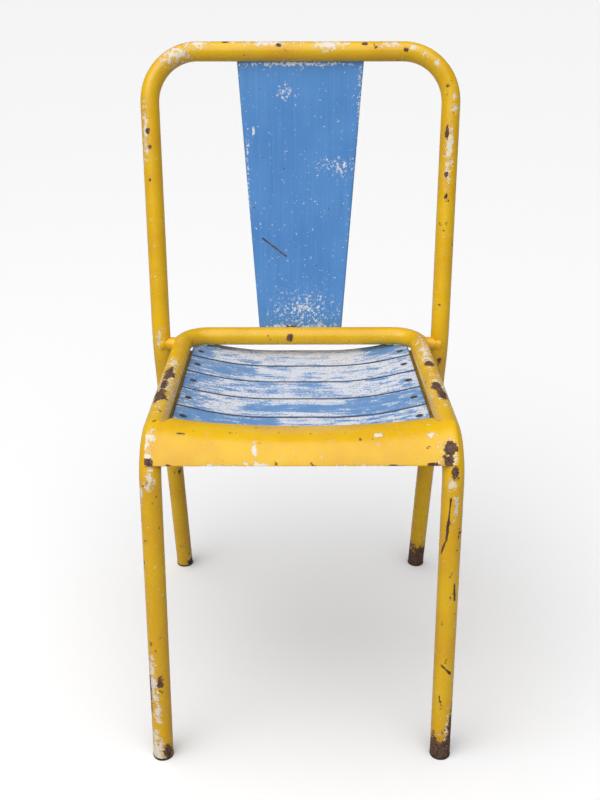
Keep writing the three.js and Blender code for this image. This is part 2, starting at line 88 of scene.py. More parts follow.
# Mesh helpers

def makePiece(name, points, faces, node=None, sharpAngle=35):
    mesh = bpy.data.meshes.new(name)
    mesh.from_pydata([tuple(p) for p in points], [], faces)
    mesh.validate()
    piece = bpy.data.objects.new(name, mesh)
    bpy.context.scene.collection.objects.link(piece)
    return finishPiece(piece, node, sharpAngle)


def finishPiece(piece, node, sharpAngle=35):
    mesh = piece.data
    mesh.shade_smooth()
    mesh.set_sharp_from_angle(angle=radians(sharpAngle))
    if node:
        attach(piece, "root")
        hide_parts(node)
    return piece


def loftFaces(ringCount, ringSides, capped=True):
    faces = []
    for i in range(ringCount - 1):
        for j in range(ringSides):
            k = (j + 1) % ringSides
            base = i * ringSides
            faces.append((base + j, base + k, base + ringSides + k, base + ringSides + j))
    if capped:
        last = (ringCount - 1) * ringSides
        faces.append(tuple(reversed(range(ringSides))))
        faces.append(tuple(range(last, last + ringSides)))
    return faces


def circle(radius, height, count):
    angles = [2 * pi * k / count for k in range(count)]
    return [Vector((radius * cos(angle), radius * sin(angle), height)) for angle in angles]


def turnedShape(profile, segments=32):
    # (radius, height) pairs turned about Z; the first and last pair lie on the axis
    points = []
    for radius, height in profile[1:-1]:
        points += circle(radius, height, segments)
    return points, loftFaces(len(profile) - 2, segments)


def turnedLoops(loops):
    # closed loops of (radius, height) pairs, evenly spaced about Z and joined into a ring
    segments, count = len(loops), len(loops[0])
    points = []
    faces = []
    for k, loop in enumerate(loops):
        angle = 2 * pi * k / segments
        points += [Vector((r * cos(angle), r * sin(angle), z)) for r, z in loop]
        a, b = k * count, (k + 1) % segments * count
        faces += [(a + j, b + j, b + (j + 1) % count, a + (j + 1) % count) for j in range(count)]
    return points, faces


def editMesh(piece, work):
    bm = bmesh.new()
    bm.from_mesh(piece.data)
    work(bm)
    bm.to_mesh(piece.data)
    bm.free()


def roundEdges(piece, width, segments=3, angle=50):
    def work(bm):
        bmesh.ops.recalc_face_normals(bm, faces=bm.faces)
        sharp = [e for e in bm.edges if e.is_manifold and e.calc_face_angle() > radians(angle)]
        bmesh.ops.bevel(bm, geom=sharp, offset=width, segments=segments, profile=0.5,
                        affect="EDGES", clamp_overlap=True)
    editMesh(piece, work)


def cutWith(piece, cutters):
    for cutter in cutters:
        step = piece.modifiers.new("cut", "BOOLEAN")
        step.object = cutter
        step.solver = "EXACT"
    graph = bpy.context.evaluated_depsgraph_get()
    cut = bpy.data.meshes.new_from_object(piece.evaluated_get(graph))
    piece.modifiers.clear()
    old = piece.data
    piece.data = cut
    bpy.data.meshes.remove(old)
    for cutter in cutters:
        bpy.data.objects.remove(cutter)


# Bent tubes

def straightRun(start, end):
    count = max(1, round((end - start).length / tube["runStep"]))
    direction = (end - start).normalized()
    return [(start.lerp(end, i / count), direction) for i in range(count)]


def bendRun(before, corner, after, radius):
    inward = (corner - before).normalized()
    outward = (after - corner).normalized()
    turn = inward.angle(outward)
    start = corner - inward * radius * tan(turn / 2)
    side = (outward - inward * inward.dot(outward)).normalized()
    count = max(2, ceil(turn / tube["bendStep"]))
    run = []
    for i in range(count + 1):
        angle = turn * i / count
        point = start + inward * radius * sin(angle) + side * radius * (1 - cos(angle))
        run.append((point, inward * cos(angle) + side * sin(angle)))
    return run


def bentRoute(corners, radii):
    route = []
    position = corners[0]
    for i, radius in enumerate(radii):
        run = bendRun(corners[i], corners[i + 1], corners[i + 2], radius)
        route += straightRun(position, run[0][0]) + run[:-1]
        position = run[-1][0]
    route += straightRun(position, corners[-1])
    route.append((corners[-1], (corners[-1] - position).normalized()))
    return route


def sweptTube(name, route, floorLevel, node):
    count = tube["sectionSides"]
    tangent = route[0][1]
    across = tangent.orthogonal().normalized()
    rings = []
    for point, direction in route:
        across = (tangent.rotation_difference(direction) @ across).normalized()
        tangent = direction
        upward = tangent.cross(across)
        rings.append([
            point + (across * cos(2 * pi * k / count) + upward * sin(2 * pi * k / count)) * tube["radius"]
            for k in range(count)
        ])
    # both ends are cut level, just above the glides
    while min(p.z for p in rings[1]) < floorLevel:
        rings.pop(1)
    while min(p.z for p in rings[-2]) < floorLevel:
        rings.pop(-2)
    for ring, direction in ((rings[0], route[0][1]), (rings[-1], route[-1][1])):
        for k, point in enumerate(ring):
            ring[k] = point + direction * ((floorLevel - point.z) / direction.z)
    return makePiece(name, [p for ring in rings for p in ring], loftFaces(len(rings), count),
                     node)


def bothSides(points):
    return points + [Vector((-p.x, p.y, p.z)) for p in reversed(points)]


def footPoint(node):
    centre = boxCentre(node)
    return Vector((centre.x, centre.y, 0))


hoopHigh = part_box("back_hoop")[1]
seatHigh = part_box("seat_frame")[1]
rearRailDepth = seatHigh.y - tube["radius"]
hoopCorners = bothSides([
    footPoint("foot_glide_rear_left"),
    Vector((-hoop["seatHalfWidth"], boxCentre("frame_lug_left").y, hoop["seatHeight"])),
    Vector((tube["radius"] - hoopHigh.x, hoopHigh.y - tube["radius"], hoopHigh.z - tube["radius"])),
])
hoopRoute = bentRoute(hoopCorners, [hoop["seatRadius"], hoop["cornerRadius"],
                                    hoop["cornerRadius"], hoop["seatRadius"]])
seatCorners = bothSides([
    footPoint("foot_glide_front_left"),
    Vector((-seat["kneeHalfWidth"], seat["kneeDepth"], seat["kneeHeight"])),
    Vector((-seat["rearHalfWidth"], rearRailDepth, seat["rearHeight"])),
])
seatRoute = bentRoute(seatCorners, [seat["kneeRadius"], seat["rearRadius"],
                                    seat["rearRadius"], seat["kneeRadius"]])


def railAt(depth):
    # half width and height of the side rails' centreline
    share = (depth - seat["kneeDepth"]) / (rearRailDepth - seat["kneeDepth"])
    return (mix(seat["kneeHalfWidth"], seat["rearHalfWidth"], share),
            mix(seat["kneeHeight"], seat["rearHeight"], share))


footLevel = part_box("back_hoop")[0].z
hoopPiece = sweptTube("hoopTube", hoopRoute, footLevel, "back_hoop")
seatPiece = sweptTube("seatTube", seatRoute, footLevel, "seat_frame")
print("tubes swept")

# the short rods that join the two tubes, with a weld bead round each end
lug = {
    "radius": 0.009,
    "beadRadius": 0.0115,
    "beadLength": 0.003,
    "sunk": 0.004,
    "beadOverlap": 0.001,
    "beadHollow": 0.0008,
    "segments": 36,
}


def makeLug(word):
    low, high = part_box("frame_lug_" + word)
    centre = (low + high) / 2
    reach = (high.x - low.x) / 2 + lug["sunk"]
    shoulder = reach - lug["sunk"] - lug["beadOverlap"]
    hollow = lug["radius"] + lug["beadHollow"]
    profile = [
        (0, -reach),
        (lug["beadRadius"], -reach),
        (lug["beadRadius"], -shoulder),
        (hollow, -shoulder + lug["beadLength"] * 0.5),
        (lug["radius"], -shoulder + lug["beadLength"]),
        (lug["radius"], shoulder - lug["beadLength"]),
        (hollow, shoulder - lug["beadLength"] * 0.5),
        (lug["beadRadius"], shoulder),
        (lug["beadRadius"], reach),
        (0, reach),
    ]
    points, faces = turnedShape(profile, lug["segments"])
    turn = Matrix.Rotation(pi / 2, 4, "Y")
    placed = [centre + turn @ p for p in points]
    return makePiece("lug_" + word, placed, faces, "frame_lug_" + word, 60)


lugPieces = [makeLug(word) for word in sides]
print("lugs turned")

# sheet steel apron over the knees; angles are about the knee bend's axis
apron = {
    "thickness": 0.0015,
    "fit": 0.0005,
    "endPastCentre": 0.0055,
    "bottomAngle": radians(27),
    "tubeEndAngle": radians(85),
    "flangeTurn": radians(11.5),
    "flangeHandle": 0.4,
    "crestDip": 0.0125,
    "dipPower": 2.3,
    "dipSpread": 1.15,
    "notchClearance": 0.009,
    "notchLap": 0.005,
    "lip": 0.0018,
    "faceRows": 40,
    "flangeRows": 16,
    "columnStep": 0.0022,
    "edgeRound": 0.0006,
}


def kneeAxis():
    toFoot = (seatCorners[0] - seatCorners[1]).normalized()
    toRear = (seatCorners[2] - seatCorners[1]).normalized()
    halfAngle = toFoot.angle(toRear) / 2
    return seatCorners[1] + (toFoot + toRear).normalized() * (seat["kneeRadius"] / sin(halfAngle))


def overTube(x):
    innerSide = seat["kneeHalfWidth"] - tube["radius"]
    return smoothStep(abs(x), innerSide - apron["notchClearance"], innerSide + apron["notchLap"])


def apronProfile(x, axis):
    wrap = tube["radius"] + apron["fit"] + apron["thickness"]
    past = max(0, abs(x) - seat["kneeHalfWidth"])
    radius = seat["kneeRadius"] + sqrt(wrap ** 2 - past ** 2)
    inner = min(1, abs(x) / seat["kneeHalfWidth"])
    dip = apron["crestDip"] * (1 - inner ** apron["dipPower"])
    crestAngle = mix(pi / 2, apron["tubeEndAngle"] - apron["flangeTurn"], overTube(x))
    profile = []
    for i in range(apron["faceRows"] + 1):
        share = i / apron["faceRows"]
        angle = mix(apron["bottomAngle"], crestAngle, share)
        reach = radius - dip * smoothStep(share, 0, apron["dipSpread"])
        profile.append((axis.y - reach * cos(angle), axis.z + reach * sin(angle)))
    tubeEnd = (axis.y - radius * cos(apron["tubeEndAngle"]), axis.z + radius * sin(apron["tubeEndAngle"]))
    slatEdge = (apronRearEdge, slatMiddle[1] + slatRise(x) + apron["lip"])
    rear = [mix(slatEdge[k], tubeEnd[k], overTube(x)) for k in (0, 1)]
    return profile + flangeCurve(profile, rear)


def flangeCurve(profile, rear):
    crest = profile[-1]
    before = profile[-2]
    run = sqrt((rear[0] - crest[0]) ** 2 + (rear[1] - crest[1]) ** 2)
    step = sqrt((crest[0] - before[0]) ** 2 + (crest[1] - before[1]) ** 2)
    bend = [crest[k] + (crest[k] - before[k]) * run * apron["flangeHandle"] / step for k in (0, 1)]
    curve = []
    for i in range(1, apron["flangeRows"] + 1):
        t = i / apron["flangeRows"]
        curve.append([crest[k] * (1 - t) ** 2 + 2 * bend[k] * t * (1 - t) + rear[k] * t ** 2
                      for k in (0, 1)])
    return curve


def thickSheet(grid, thickness):
    # a closed sheet whose outer face is the grid of columns
    columns, rows = len(grid), len(grid[0])
    outer = np.array([[tuple(p) for p in column] for column in grid])
    normals = np.cross(np.gradient(outer, axis=0), np.gradient(outer, axis=1))
    normals /= np.linalg.norm(normals, axis=2, keepdims=True)
    inner = outer - normals * thickness
    points = np.concatenate([outer.reshape(-1, 3), inner.reshape(-1, 3)])
    half = columns * rows
    faces = []
    for i in range(columns - 1):
        for j in range(rows - 1):
            a, b = i * rows + j, (i + 1) * rows + j
            faces.append((a, b, b + 1, a + 1))
            faces.append((half + a, half + a + 1, half + b + 1, half + b))
        a, b = i * rows, (i + 1) * rows
        faces.append((a, half + a, half + b, b))
        faces.append((a + rows - 1, b + rows - 1, half + b + rows - 1, half + a + rows - 1))
    for j in range(rows - 1):
        a, b = j, (columns - 1) * rows + j
        faces.append((a, a + 1, half + a + 1, half + a))
        faces.append((b, half + b, half + b + 1, b + 1))
    return points, faces


# seat slats, dished along their length
slat = {
    "count": 5,
    "thickness": 0.0077,
    "flatHalfLength": 0.037,
    "dishRadius": 0.376,
    "endTilt": radians(14),
    "endClearance": 0.0005,
    "edgeRound": 0.0013,
    "step": 0.0025,
    "edgeWaver": 0.0004,
    "waverScale": 25,
    "waverShift": 7.0,
    "rearGap": 1e-5,
    "rearChamfer": 0.010,
    "cornerStart": pi / 6,
    "cornerSteps": 16,
}
dishEnd = slat["flatHalfLength"] + slat["dishRadius"] * sin(slat["endTilt"])


def slatAngle(x):
    along = min(abs(x), dishEnd) - slat["flatHalfLength"]
    return asin(max(0.0, along) / slat["dishRadius"])


def slatRise(x):
    angle = slatAngle(x)
    past = max(0.0, abs(x) - dishEnd)
    return slat["dishRadius"] * (1 - cos(angle)) + past * tan(slat["endTilt"])


# height of each slat's upper face at its middle
slatMiddle = {}
for number in range(1, slat["count"] + 1):
    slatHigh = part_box(f"slat_{number}")[1]
    slatMiddle[number] = slatHigh.z - slatRise(slatHigh.x)


def rearSlatOutline():
    # (depth, half width) pairs: round the tube's corner, then under the rear rail
    room = tube["radius"] + slat["endClearance"]
    cornerX = seat["rearHalfWidth"] - seat["rearRadius"]
    cornerY = rearRailDepth - seat["rearRadius"]
    outline = []
    for i in range(slat["cornerSteps"] + 1):
        angle = mix(slat["cornerStart"], pi / 2, i / slat["cornerSteps"])
        about = cornerX + (seat["rearRadius"] - room) * cos(angle)
        drop = seat["rearHeight"] - slatMiddle[slat["count"]] - slatRise(about)
        reach = seat["rearRadius"] - sqrt(max(0, room ** 2 - drop ** 2))
        outline.append((cornerY + reach * sin(angle), cornerX + reach * cos(angle)))
    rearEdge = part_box(f"slat_{slat['count']}")[1].y
    outline.append((rearEdge - slat["rearChamfer"] / 2, cornerX - slat["rearChamfer"] / 2))
    outline.append((rearEdge, cornerX - slat["rearChamfer"]))
    return outline


rearOutline = rearSlatOutline()
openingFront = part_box("front_apron")[1].y


def openingHalfWidth(depth):
    # inside the side rails, narrowing round the rear corners
    cornerDepth, cornerWidth = rearOutline[0]
    if depth > cornerDepth:
        return float(np.interp(depth, [d for d, w in rearOutline], [w for d, w in rearOutline]))
    frontWidth = railAt(openingFront)[0] - tube["radius"] - slat["endClearance"]
    return mix(frontWidth, cornerWidth, (depth - openingFront) / (cornerDepth - openingFront))


def makeSlat(number):
    low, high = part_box(f"slat_{number}")
    columns = round(2 * high.x / slat["step"])
    rows = round((high.y - low.y) / slat["step"])
    grid = []
    for i in range(columns + 1):
        column = []
        for j in range(rows + 1):
            depth = mix(low.y, high.y - slat["rearGap"], j / rows)
            x = (2 * i / columns - 1) * openingHalfWidth(depth)
            spot = Vector((x * slat["waverScale"], number * slat["waverShift"], j / rows))
            waver = slat["edgeWaver"] * noise.noise(spot)
            inward = {0: 1, rows: -1}.get(j, 0)
            height = slatMiddle[number] + slatRise(x) + waver * 0.5
            column.append(Vector((x, depth + abs(waver) * inward, height)))
        grid.append(column)
    points, faces = thickSheet(grid, slat["thickness"])
    piece = makePiece(f"slatBoard_{number}", points, faces)
    roundEdges(piece, slat["edgeRound"])
    cutWith(piece, [screwCutter(number, side) for side in sides.values()])
    return finishPiece(piece, f"slat_{number}")


# slotted countersunk screws through the slat ends, with a washer and nut below
screw = {
    "fromSlatEnd": 0.013,
    "radius": 0.0025,
    "headRadius": 0.0046,
    "headHeight": 0.0024,
    "headSunk": 0.0003,
    "clearance": 0.0005,
    "slotWidth": 0.0012,
    "slotDepth": 0.001,
    "pitch": 0.0008,
    "threadDepth": 0.0003,
    "tipChamfer": 0.0006,
    "lengthShare": 0.985,
    "turnStep": 0.9,
    "cutterReach": 0.03,
}


def screwPlace(number, side):
    depth = boxCentre(f"slat_screw_{number}_left").y
    tilt = slat["endTilt"]
    x = railAt(depth)[0] - tube["radius"] - slat["endClearance"] - screw["fromSlatEnd"] * cos(tilt)
    spot = Vector((side * x, depth, slatMiddle[number] + slatRise(x)))
    return Matrix.Translation(spot) @ Matrix.Rotation(-side * tilt, 4, "Y")


def looseShape(name, points, faces):
    mesh = bpy.data.meshes.new(name)
    mesh.from_pydata([tuple(p) for p in points], [], faces)
    shape = bpy.data.objects.new(name, mesh)
    bpy.context.scene.collection.objects.link(shape)
    return shape


def screwCutter(number, side):
    room = screw["clearance"]
    hole = screw["radius"] + room
    sink = screw["headRadius"] + room
    far = screw["cutterReach"]
    profile = [(0, -far), (hole, -far), (hole, -screw["headHeight"] - room),
               (sink, -screw["headSunk"]), (sink, far), (0, far)]
    points, faces = turnedShape(profile)
    place = screwPlace(number, side)
    return looseShape("cutter", [place @ p for p in points], faces)


# flat bars under the slat ends, tilted with them
support = {
    "thickness": 0.003,
    "widthShare": 0.97,
    "outward": 0.004,
    "tubeGap": 0.0003,
    "endGap": 0.0004,
    "rows": 6,
    "columnStep": 0.006,
    "edgeRound": 0.0007,
}


def makeSupport(word):
    low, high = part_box("slat_support_" + word)
    side = sides[word]
    tilt = slat["endTilt"]
    width = (high.x - low.x) / cos(tilt) * support["widthShare"]
    belowTube = tube["radius"] + support["tubeGap"]
    grid = []
    rows = support["rows"]
    columns = round((high.y - low.y) / support["columnStep"])
    for i in range(columns + 1):
        depth = mix(low.y + support["endGap"], high.y - support["endGap"], i / columns)
        halfWidth, height = railAt(depth)
        column = []
        for j in range(rows + 1):
            x = halfWidth + support["outward"] - width * cos(tilt) * j / rows
            z = height + ((x - halfWidth) * sin(tilt) - belowTube) / cos(tilt)
            column.append(Vector((side * x, depth, z)))
        grid.append(column if side > 0 else list(reversed(column)))
    points, faces = thickSheet(grid, support["thickness"])
    piece = makePiece("supportBar_" + word, points, faces)
    roundEdges(piece, support["edgeRound"])
    cutWith(piece, [screwCutter(number, side) for number in slatMiddle])
    return finishPiece(piece, "slat_support_" + word)


def makeScrew(number, word):
    low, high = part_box(f"slat_screw_{number}_{word}")
    length = (high - low).z * screw["lengthShare"]
    top = -screw["headSunk"]
    bottom = top - length
    radius = screw["radius"]
    height = bottom + screw["tipChamfer"]
    profile = [(0, bottom), (radius - screw["tipChamfer"], bottom), (radius, height)]
    while height < top - screw["headHeight"] - 2 * screw["pitch"]:
        profile.append((radius - screw["threadDepth"], height + screw["pitch"] / 2))
        profile.append((radius, height + screw["pitch"]))
        height += screw["pitch"]
    headRadius = screw["headRadius"]
    profile += [(radius, top - screw["headHeight"]), (headRadius, top - 0.0004),
                (headRadius - 0.0002, top - 0.0001), (headRadius - 0.0008, top), (0, top)]
    points, faces = turnedShape(profile, 28)
    turn = number * screw["turnStep"] + sides[word]
    place = screwPlace(number, sides[word]) @ Matrix.Rotation(turn, 4, "Z")
    piece = looseShape(f"screw_{number}_{word}", [place @ p for p in points], faces)
    half = Vector((headRadius * 2, screw["slotWidth"] / 2, screw["slotDepth"]))
    corners = [Vector((sx * half.x, sy * half.y, top + sz * half.z))
               for sz in (-1, 1) for sy in (-1, 1) for sx in (-1, 1)]
    slotFaces = [(0, 2, 3, 1), (4, 5, 7, 6), (0, 1, 5, 4), (2, 6, 7, 3), (0, 4, 6, 2), (1, 3, 7, 5)]
    cutWith(piece, [looseShape("slotCutter", [place @ p for p in corners], slotFaces)])
    return finishPiece(piece, f"slat_screw_{number}_{word}", 30)


washer = {
    "radius": 0.005,
    "bore": 0.0028,
    "thickness": 0.001,
    "chamfer": 0.0002,
    "underSlat": 0.0005,
    "gap": 0.0003,
    "segments": 32,
}


def makeWasher(number, word):
    top = -(slat["thickness"] + washer["underSlat"] + support["thickness"] + washer["gap"])
    bottom = top - washer["thickness"]
    outer, inner, chamfer = washer["radius"], washer["bore"], washer["chamfer"]
    loop = [(inner, bottom), (outer - chamfer, bottom), (outer, bottom + chamfer),
            (outer, top - chamfer), (outer - chamfer, top), (inner, top)]
    points, faces = turnedLoops([loop] * washer["segments"])
    place = screwPlace(number, sides[word])
    return makePiece(f"washer_{number}_{word}", [place @ p for p in points], faces,
                     f"slat_washer_{number}_{word}")


nut = {
    "bottom": -0.0168,
    "top": -0.0128,
    "halfAcross": 0.004,
    "bore": 0.0027,
    "boreChamfer": 0.0003,
    "faceInset": 0.0002,
    "cornerTrim": 0.8,
    "leastTrim": 0.0001,
    "turnStep": 1.7,
    "segments": 48,
}


def makeNut(number, word):
    # a hexagon with turned corners
    bottom, top = nut["bottom"], nut["top"]
    bore, chamfer = nut["bore"], nut["boreChamfer"]
    face = nut["halfAcross"] - nut["faceInset"]
    loops = []
    for k in range(nut["segments"]):
        angle = 2 * pi * k / nut["segments"]
        hexRadius = nut["halfAcross"] / cos((angle % (pi / 3)) - pi / 6)
        trim = (hexRadius - nut["halfAcross"]) * nut["cornerTrim"] + nut["leastTrim"]
        loops.append([(bore + chamfer, bottom), (face, bottom), (hexRadius, bottom + trim),
                      (hexRadius, top - trim), (face, top), (bore + chamfer, top),
                      (bore, top - chamfer), (bore, bottom + chamfer)])
    points, faces = turnedLoops(loops)
    place = screwPlace(number, sides[word]) @ Matrix.Rotation(number * nut["turnStep"], 4, "Z")
    return makePiece(f"nut_{number}_{word}", [place @ p for p in points], faces,
                     f"slat_nut_{number}_{word}", 28)


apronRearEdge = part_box("slat_1")[0].y - 0.0012


def makeApron():
    axis = kneeAxis()
    end = seat["kneeHalfWidth"] + apron["endPastCentre"]
    count = round(2 * end / apron["columnStep"])
    grid = []
    for i in range(count + 1):
        x = mix(-end, end, i / count)
        grid.append([Vector((x, y, z)) for y, z in apronProfile(x, axis)])
    points, faces = thickSheet(grid, apron["thickness"])
    piece = makePiece("apronSheet", points, faces)
    roundEdges(piece, apron["edgeRound"], 2, 60)
    return finishPiece(piece, "front_apron")


slatPieces = [makeSlat(number) for number in slatMiddle]
supportPieces = [makeSupport(word) for word in sides]
steelPieces = []
for number in slatMiddle:
    for word in sides:
        steelPieces += [makeScrew(number, word), makeWasher(number, word), makeNut(number, word)]
print("slats and fasteners made")
apronPiece = makeApron()
print("apron pressed")

# tapered back splat with turned-back edges
splat = {
    "thickness": 0.0015,
    "edgeReturn": 0.007,
    "bendRadius": 0.003,
    "topHalfWidth": 0.0855,
    "bottomHalfWidth": 0.058,
    "intoRail": 0.003,
    "columnStep": 0.0015,
    "rowStep": 0.0018,
    "railGap": 0.0003,
    "bendSteps": 6,
    "edgeRound": 0.0005,
}


def splatHalfSection(halfWidth, inset):
    # from the middle of the front face to the end of the turned edge
    bend = splat["bendRadius"]
    flat = halfWidth - bend
    count = round(splat["topHalfWidth"] / splat["columnStep"])
    section = [(flat * i / count, inset) for i in range(count)]
    for i in range(splat["bendSteps"] + 1):
        angle = pi / 2 * i / splat["bendSteps"]
        section.append((flat + (bend - inset) * sin(angle), bend - (bend - inset) * cos(angle)))
    section.append((halfWidth - inset, splat["edgeReturn"]))
    return section


def makeSplat():
    low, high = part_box("back_splat")
    topHeight = hoopHigh.z - 2 * tube["radius"] + splat["intoRail"]
    frontAtSeat = rearRailDepth + tube["radius"] + splat["railGap"]
    railHeight = hoopHigh.z - tube["radius"]
    lean = (hoopHigh.y - tube["radius"] - frontAtSeat) / (railHeight - seat["rearHeight"])
    taper = (splat["topHalfWidth"] - splat["bottomHalfWidth"]) / (railHeight - low.z)
    rows = round((topHeight - low.z) / splat["rowStep"])
    rings = []
    for j in range(rows + 1):
        height = mix(low.z, topHeight, j / rows)
        halfWidth = splat["bottomHalfWidth"] + taper * (height - low.z)
        front = frontAtSeat + (height - seat["rearHeight"]) * lean
        outer = splatHalfSection(halfWidth, 0)
        inner = splatHalfSection(halfWidth, splat["thickness"])
        loop = outer + list(reversed(inner))
        loop += [(-x, y) for x, y in inner[1:]] + [(-x, y) for x, y in reversed(outer[1:])]
        rings.append([Vector((x, front + y, height)) for x, y in loop])
    points = [p for ring in rings for p in ring]
    count = len(rings[0])
    faces = loftFaces(len(rings), count, capped=False)
    # the two cut ends are strips between the outer and the inner face
    last = (len(rings) - 1) * count
    innerSide = len(outer)
    for k in range(innerSide - 1):
        mirror = 2 * innerSide - 1
        faces.append((k + 1, k, mirror - k, mirror - k - 1))
        faces.append((last + k, last + k + 1, last + mirror - k - 1, last + mirror - k))
    leftInner = [2 * innerSide - 1] + list(range(2 * innerSide, 3 * innerSide - 1))
    leftOuter = [0] + list(reversed(range(3 * innerSide - 1, count)))
    for k in range(innerSide - 1):
        a, b = leftOuter[k], leftOuter[k + 1]
        c, d = leftInner[k + 1], leftInner[k]
        faces.append((a, b, c, d))
        faces.append((last + b, last + a, last + d, last + c))
    piece = makePiece("splatSheet", points, faces)
    roundEdges(piece, splat["edgeRound"], 2, 60)
    return finishPiece(piece, "back_splat")


splatPiece = makeSplat()
print("splat pressed")

# flat-soled glides in the tube ends
glide = {
    "overhang": 0.0004,
    "plugClearance": 0.0006,
    "wall": 0.0015,
    "plugTop": 0.016,
    "soleRound": 0.0008,
    "soleInset": 0.0002,
    "rimRound": 0.0003,
    "plugRound": 0.0005,
    "segments": 40,
}


def makeGlide(end, word):
    node = f"foot_glide_{end}_{word}"
    low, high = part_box(node)
    corners = seatCorners if end == "front" else hoopCorners
    foot, nextCorner = (corners[0], corners[1]) if word == "left" else (corners[-1], corners[-2])
    along = (nextCorner - foot).normalized()
    rim = tube["radius"] + glide["overhang"]
    plug = tube["radius"] - glide["wall"] - glide["plugClearance"]
    top = footLevel - tube["footGap"]
    sole, rimRound, plugRound = glide["soleRound"], glide["rimRound"], glide["plugRound"]
    levels = [(rim - sole, 0.0), (rim - glide["soleInset"], sole * 0.4), (rim, sole),
              (rim, top - rimRound), (rim - rimRound, top), (plug, top),
              (plug, glide["plugTop"] - plugRound), (plug - plugRound, glide["plugTop"])]
    segments = glide["segments"]
    points = []
    for radius, height in levels:
        centre = foot + along * (height / along.z)
        points += [centre + Vector((radius * cos(2 * pi * k / segments),
                                    radius * sin(2 * pi * k / segments) / along.z, 0))
                   for k in range(segments)]
    return makePiece(f"glide_{end}_{word}", points, loftFaces(len(levels), segments),
                     node)


glidePieces = [makeGlide(end, word) for end in ("front", "rear") for word in sides]
print("glides made")


# Wear painted into the meshes: chips bare the primer, rust bares the steel.
# A spot is (kind, place, reach, strength); reach is in metres along X, Y and Z.

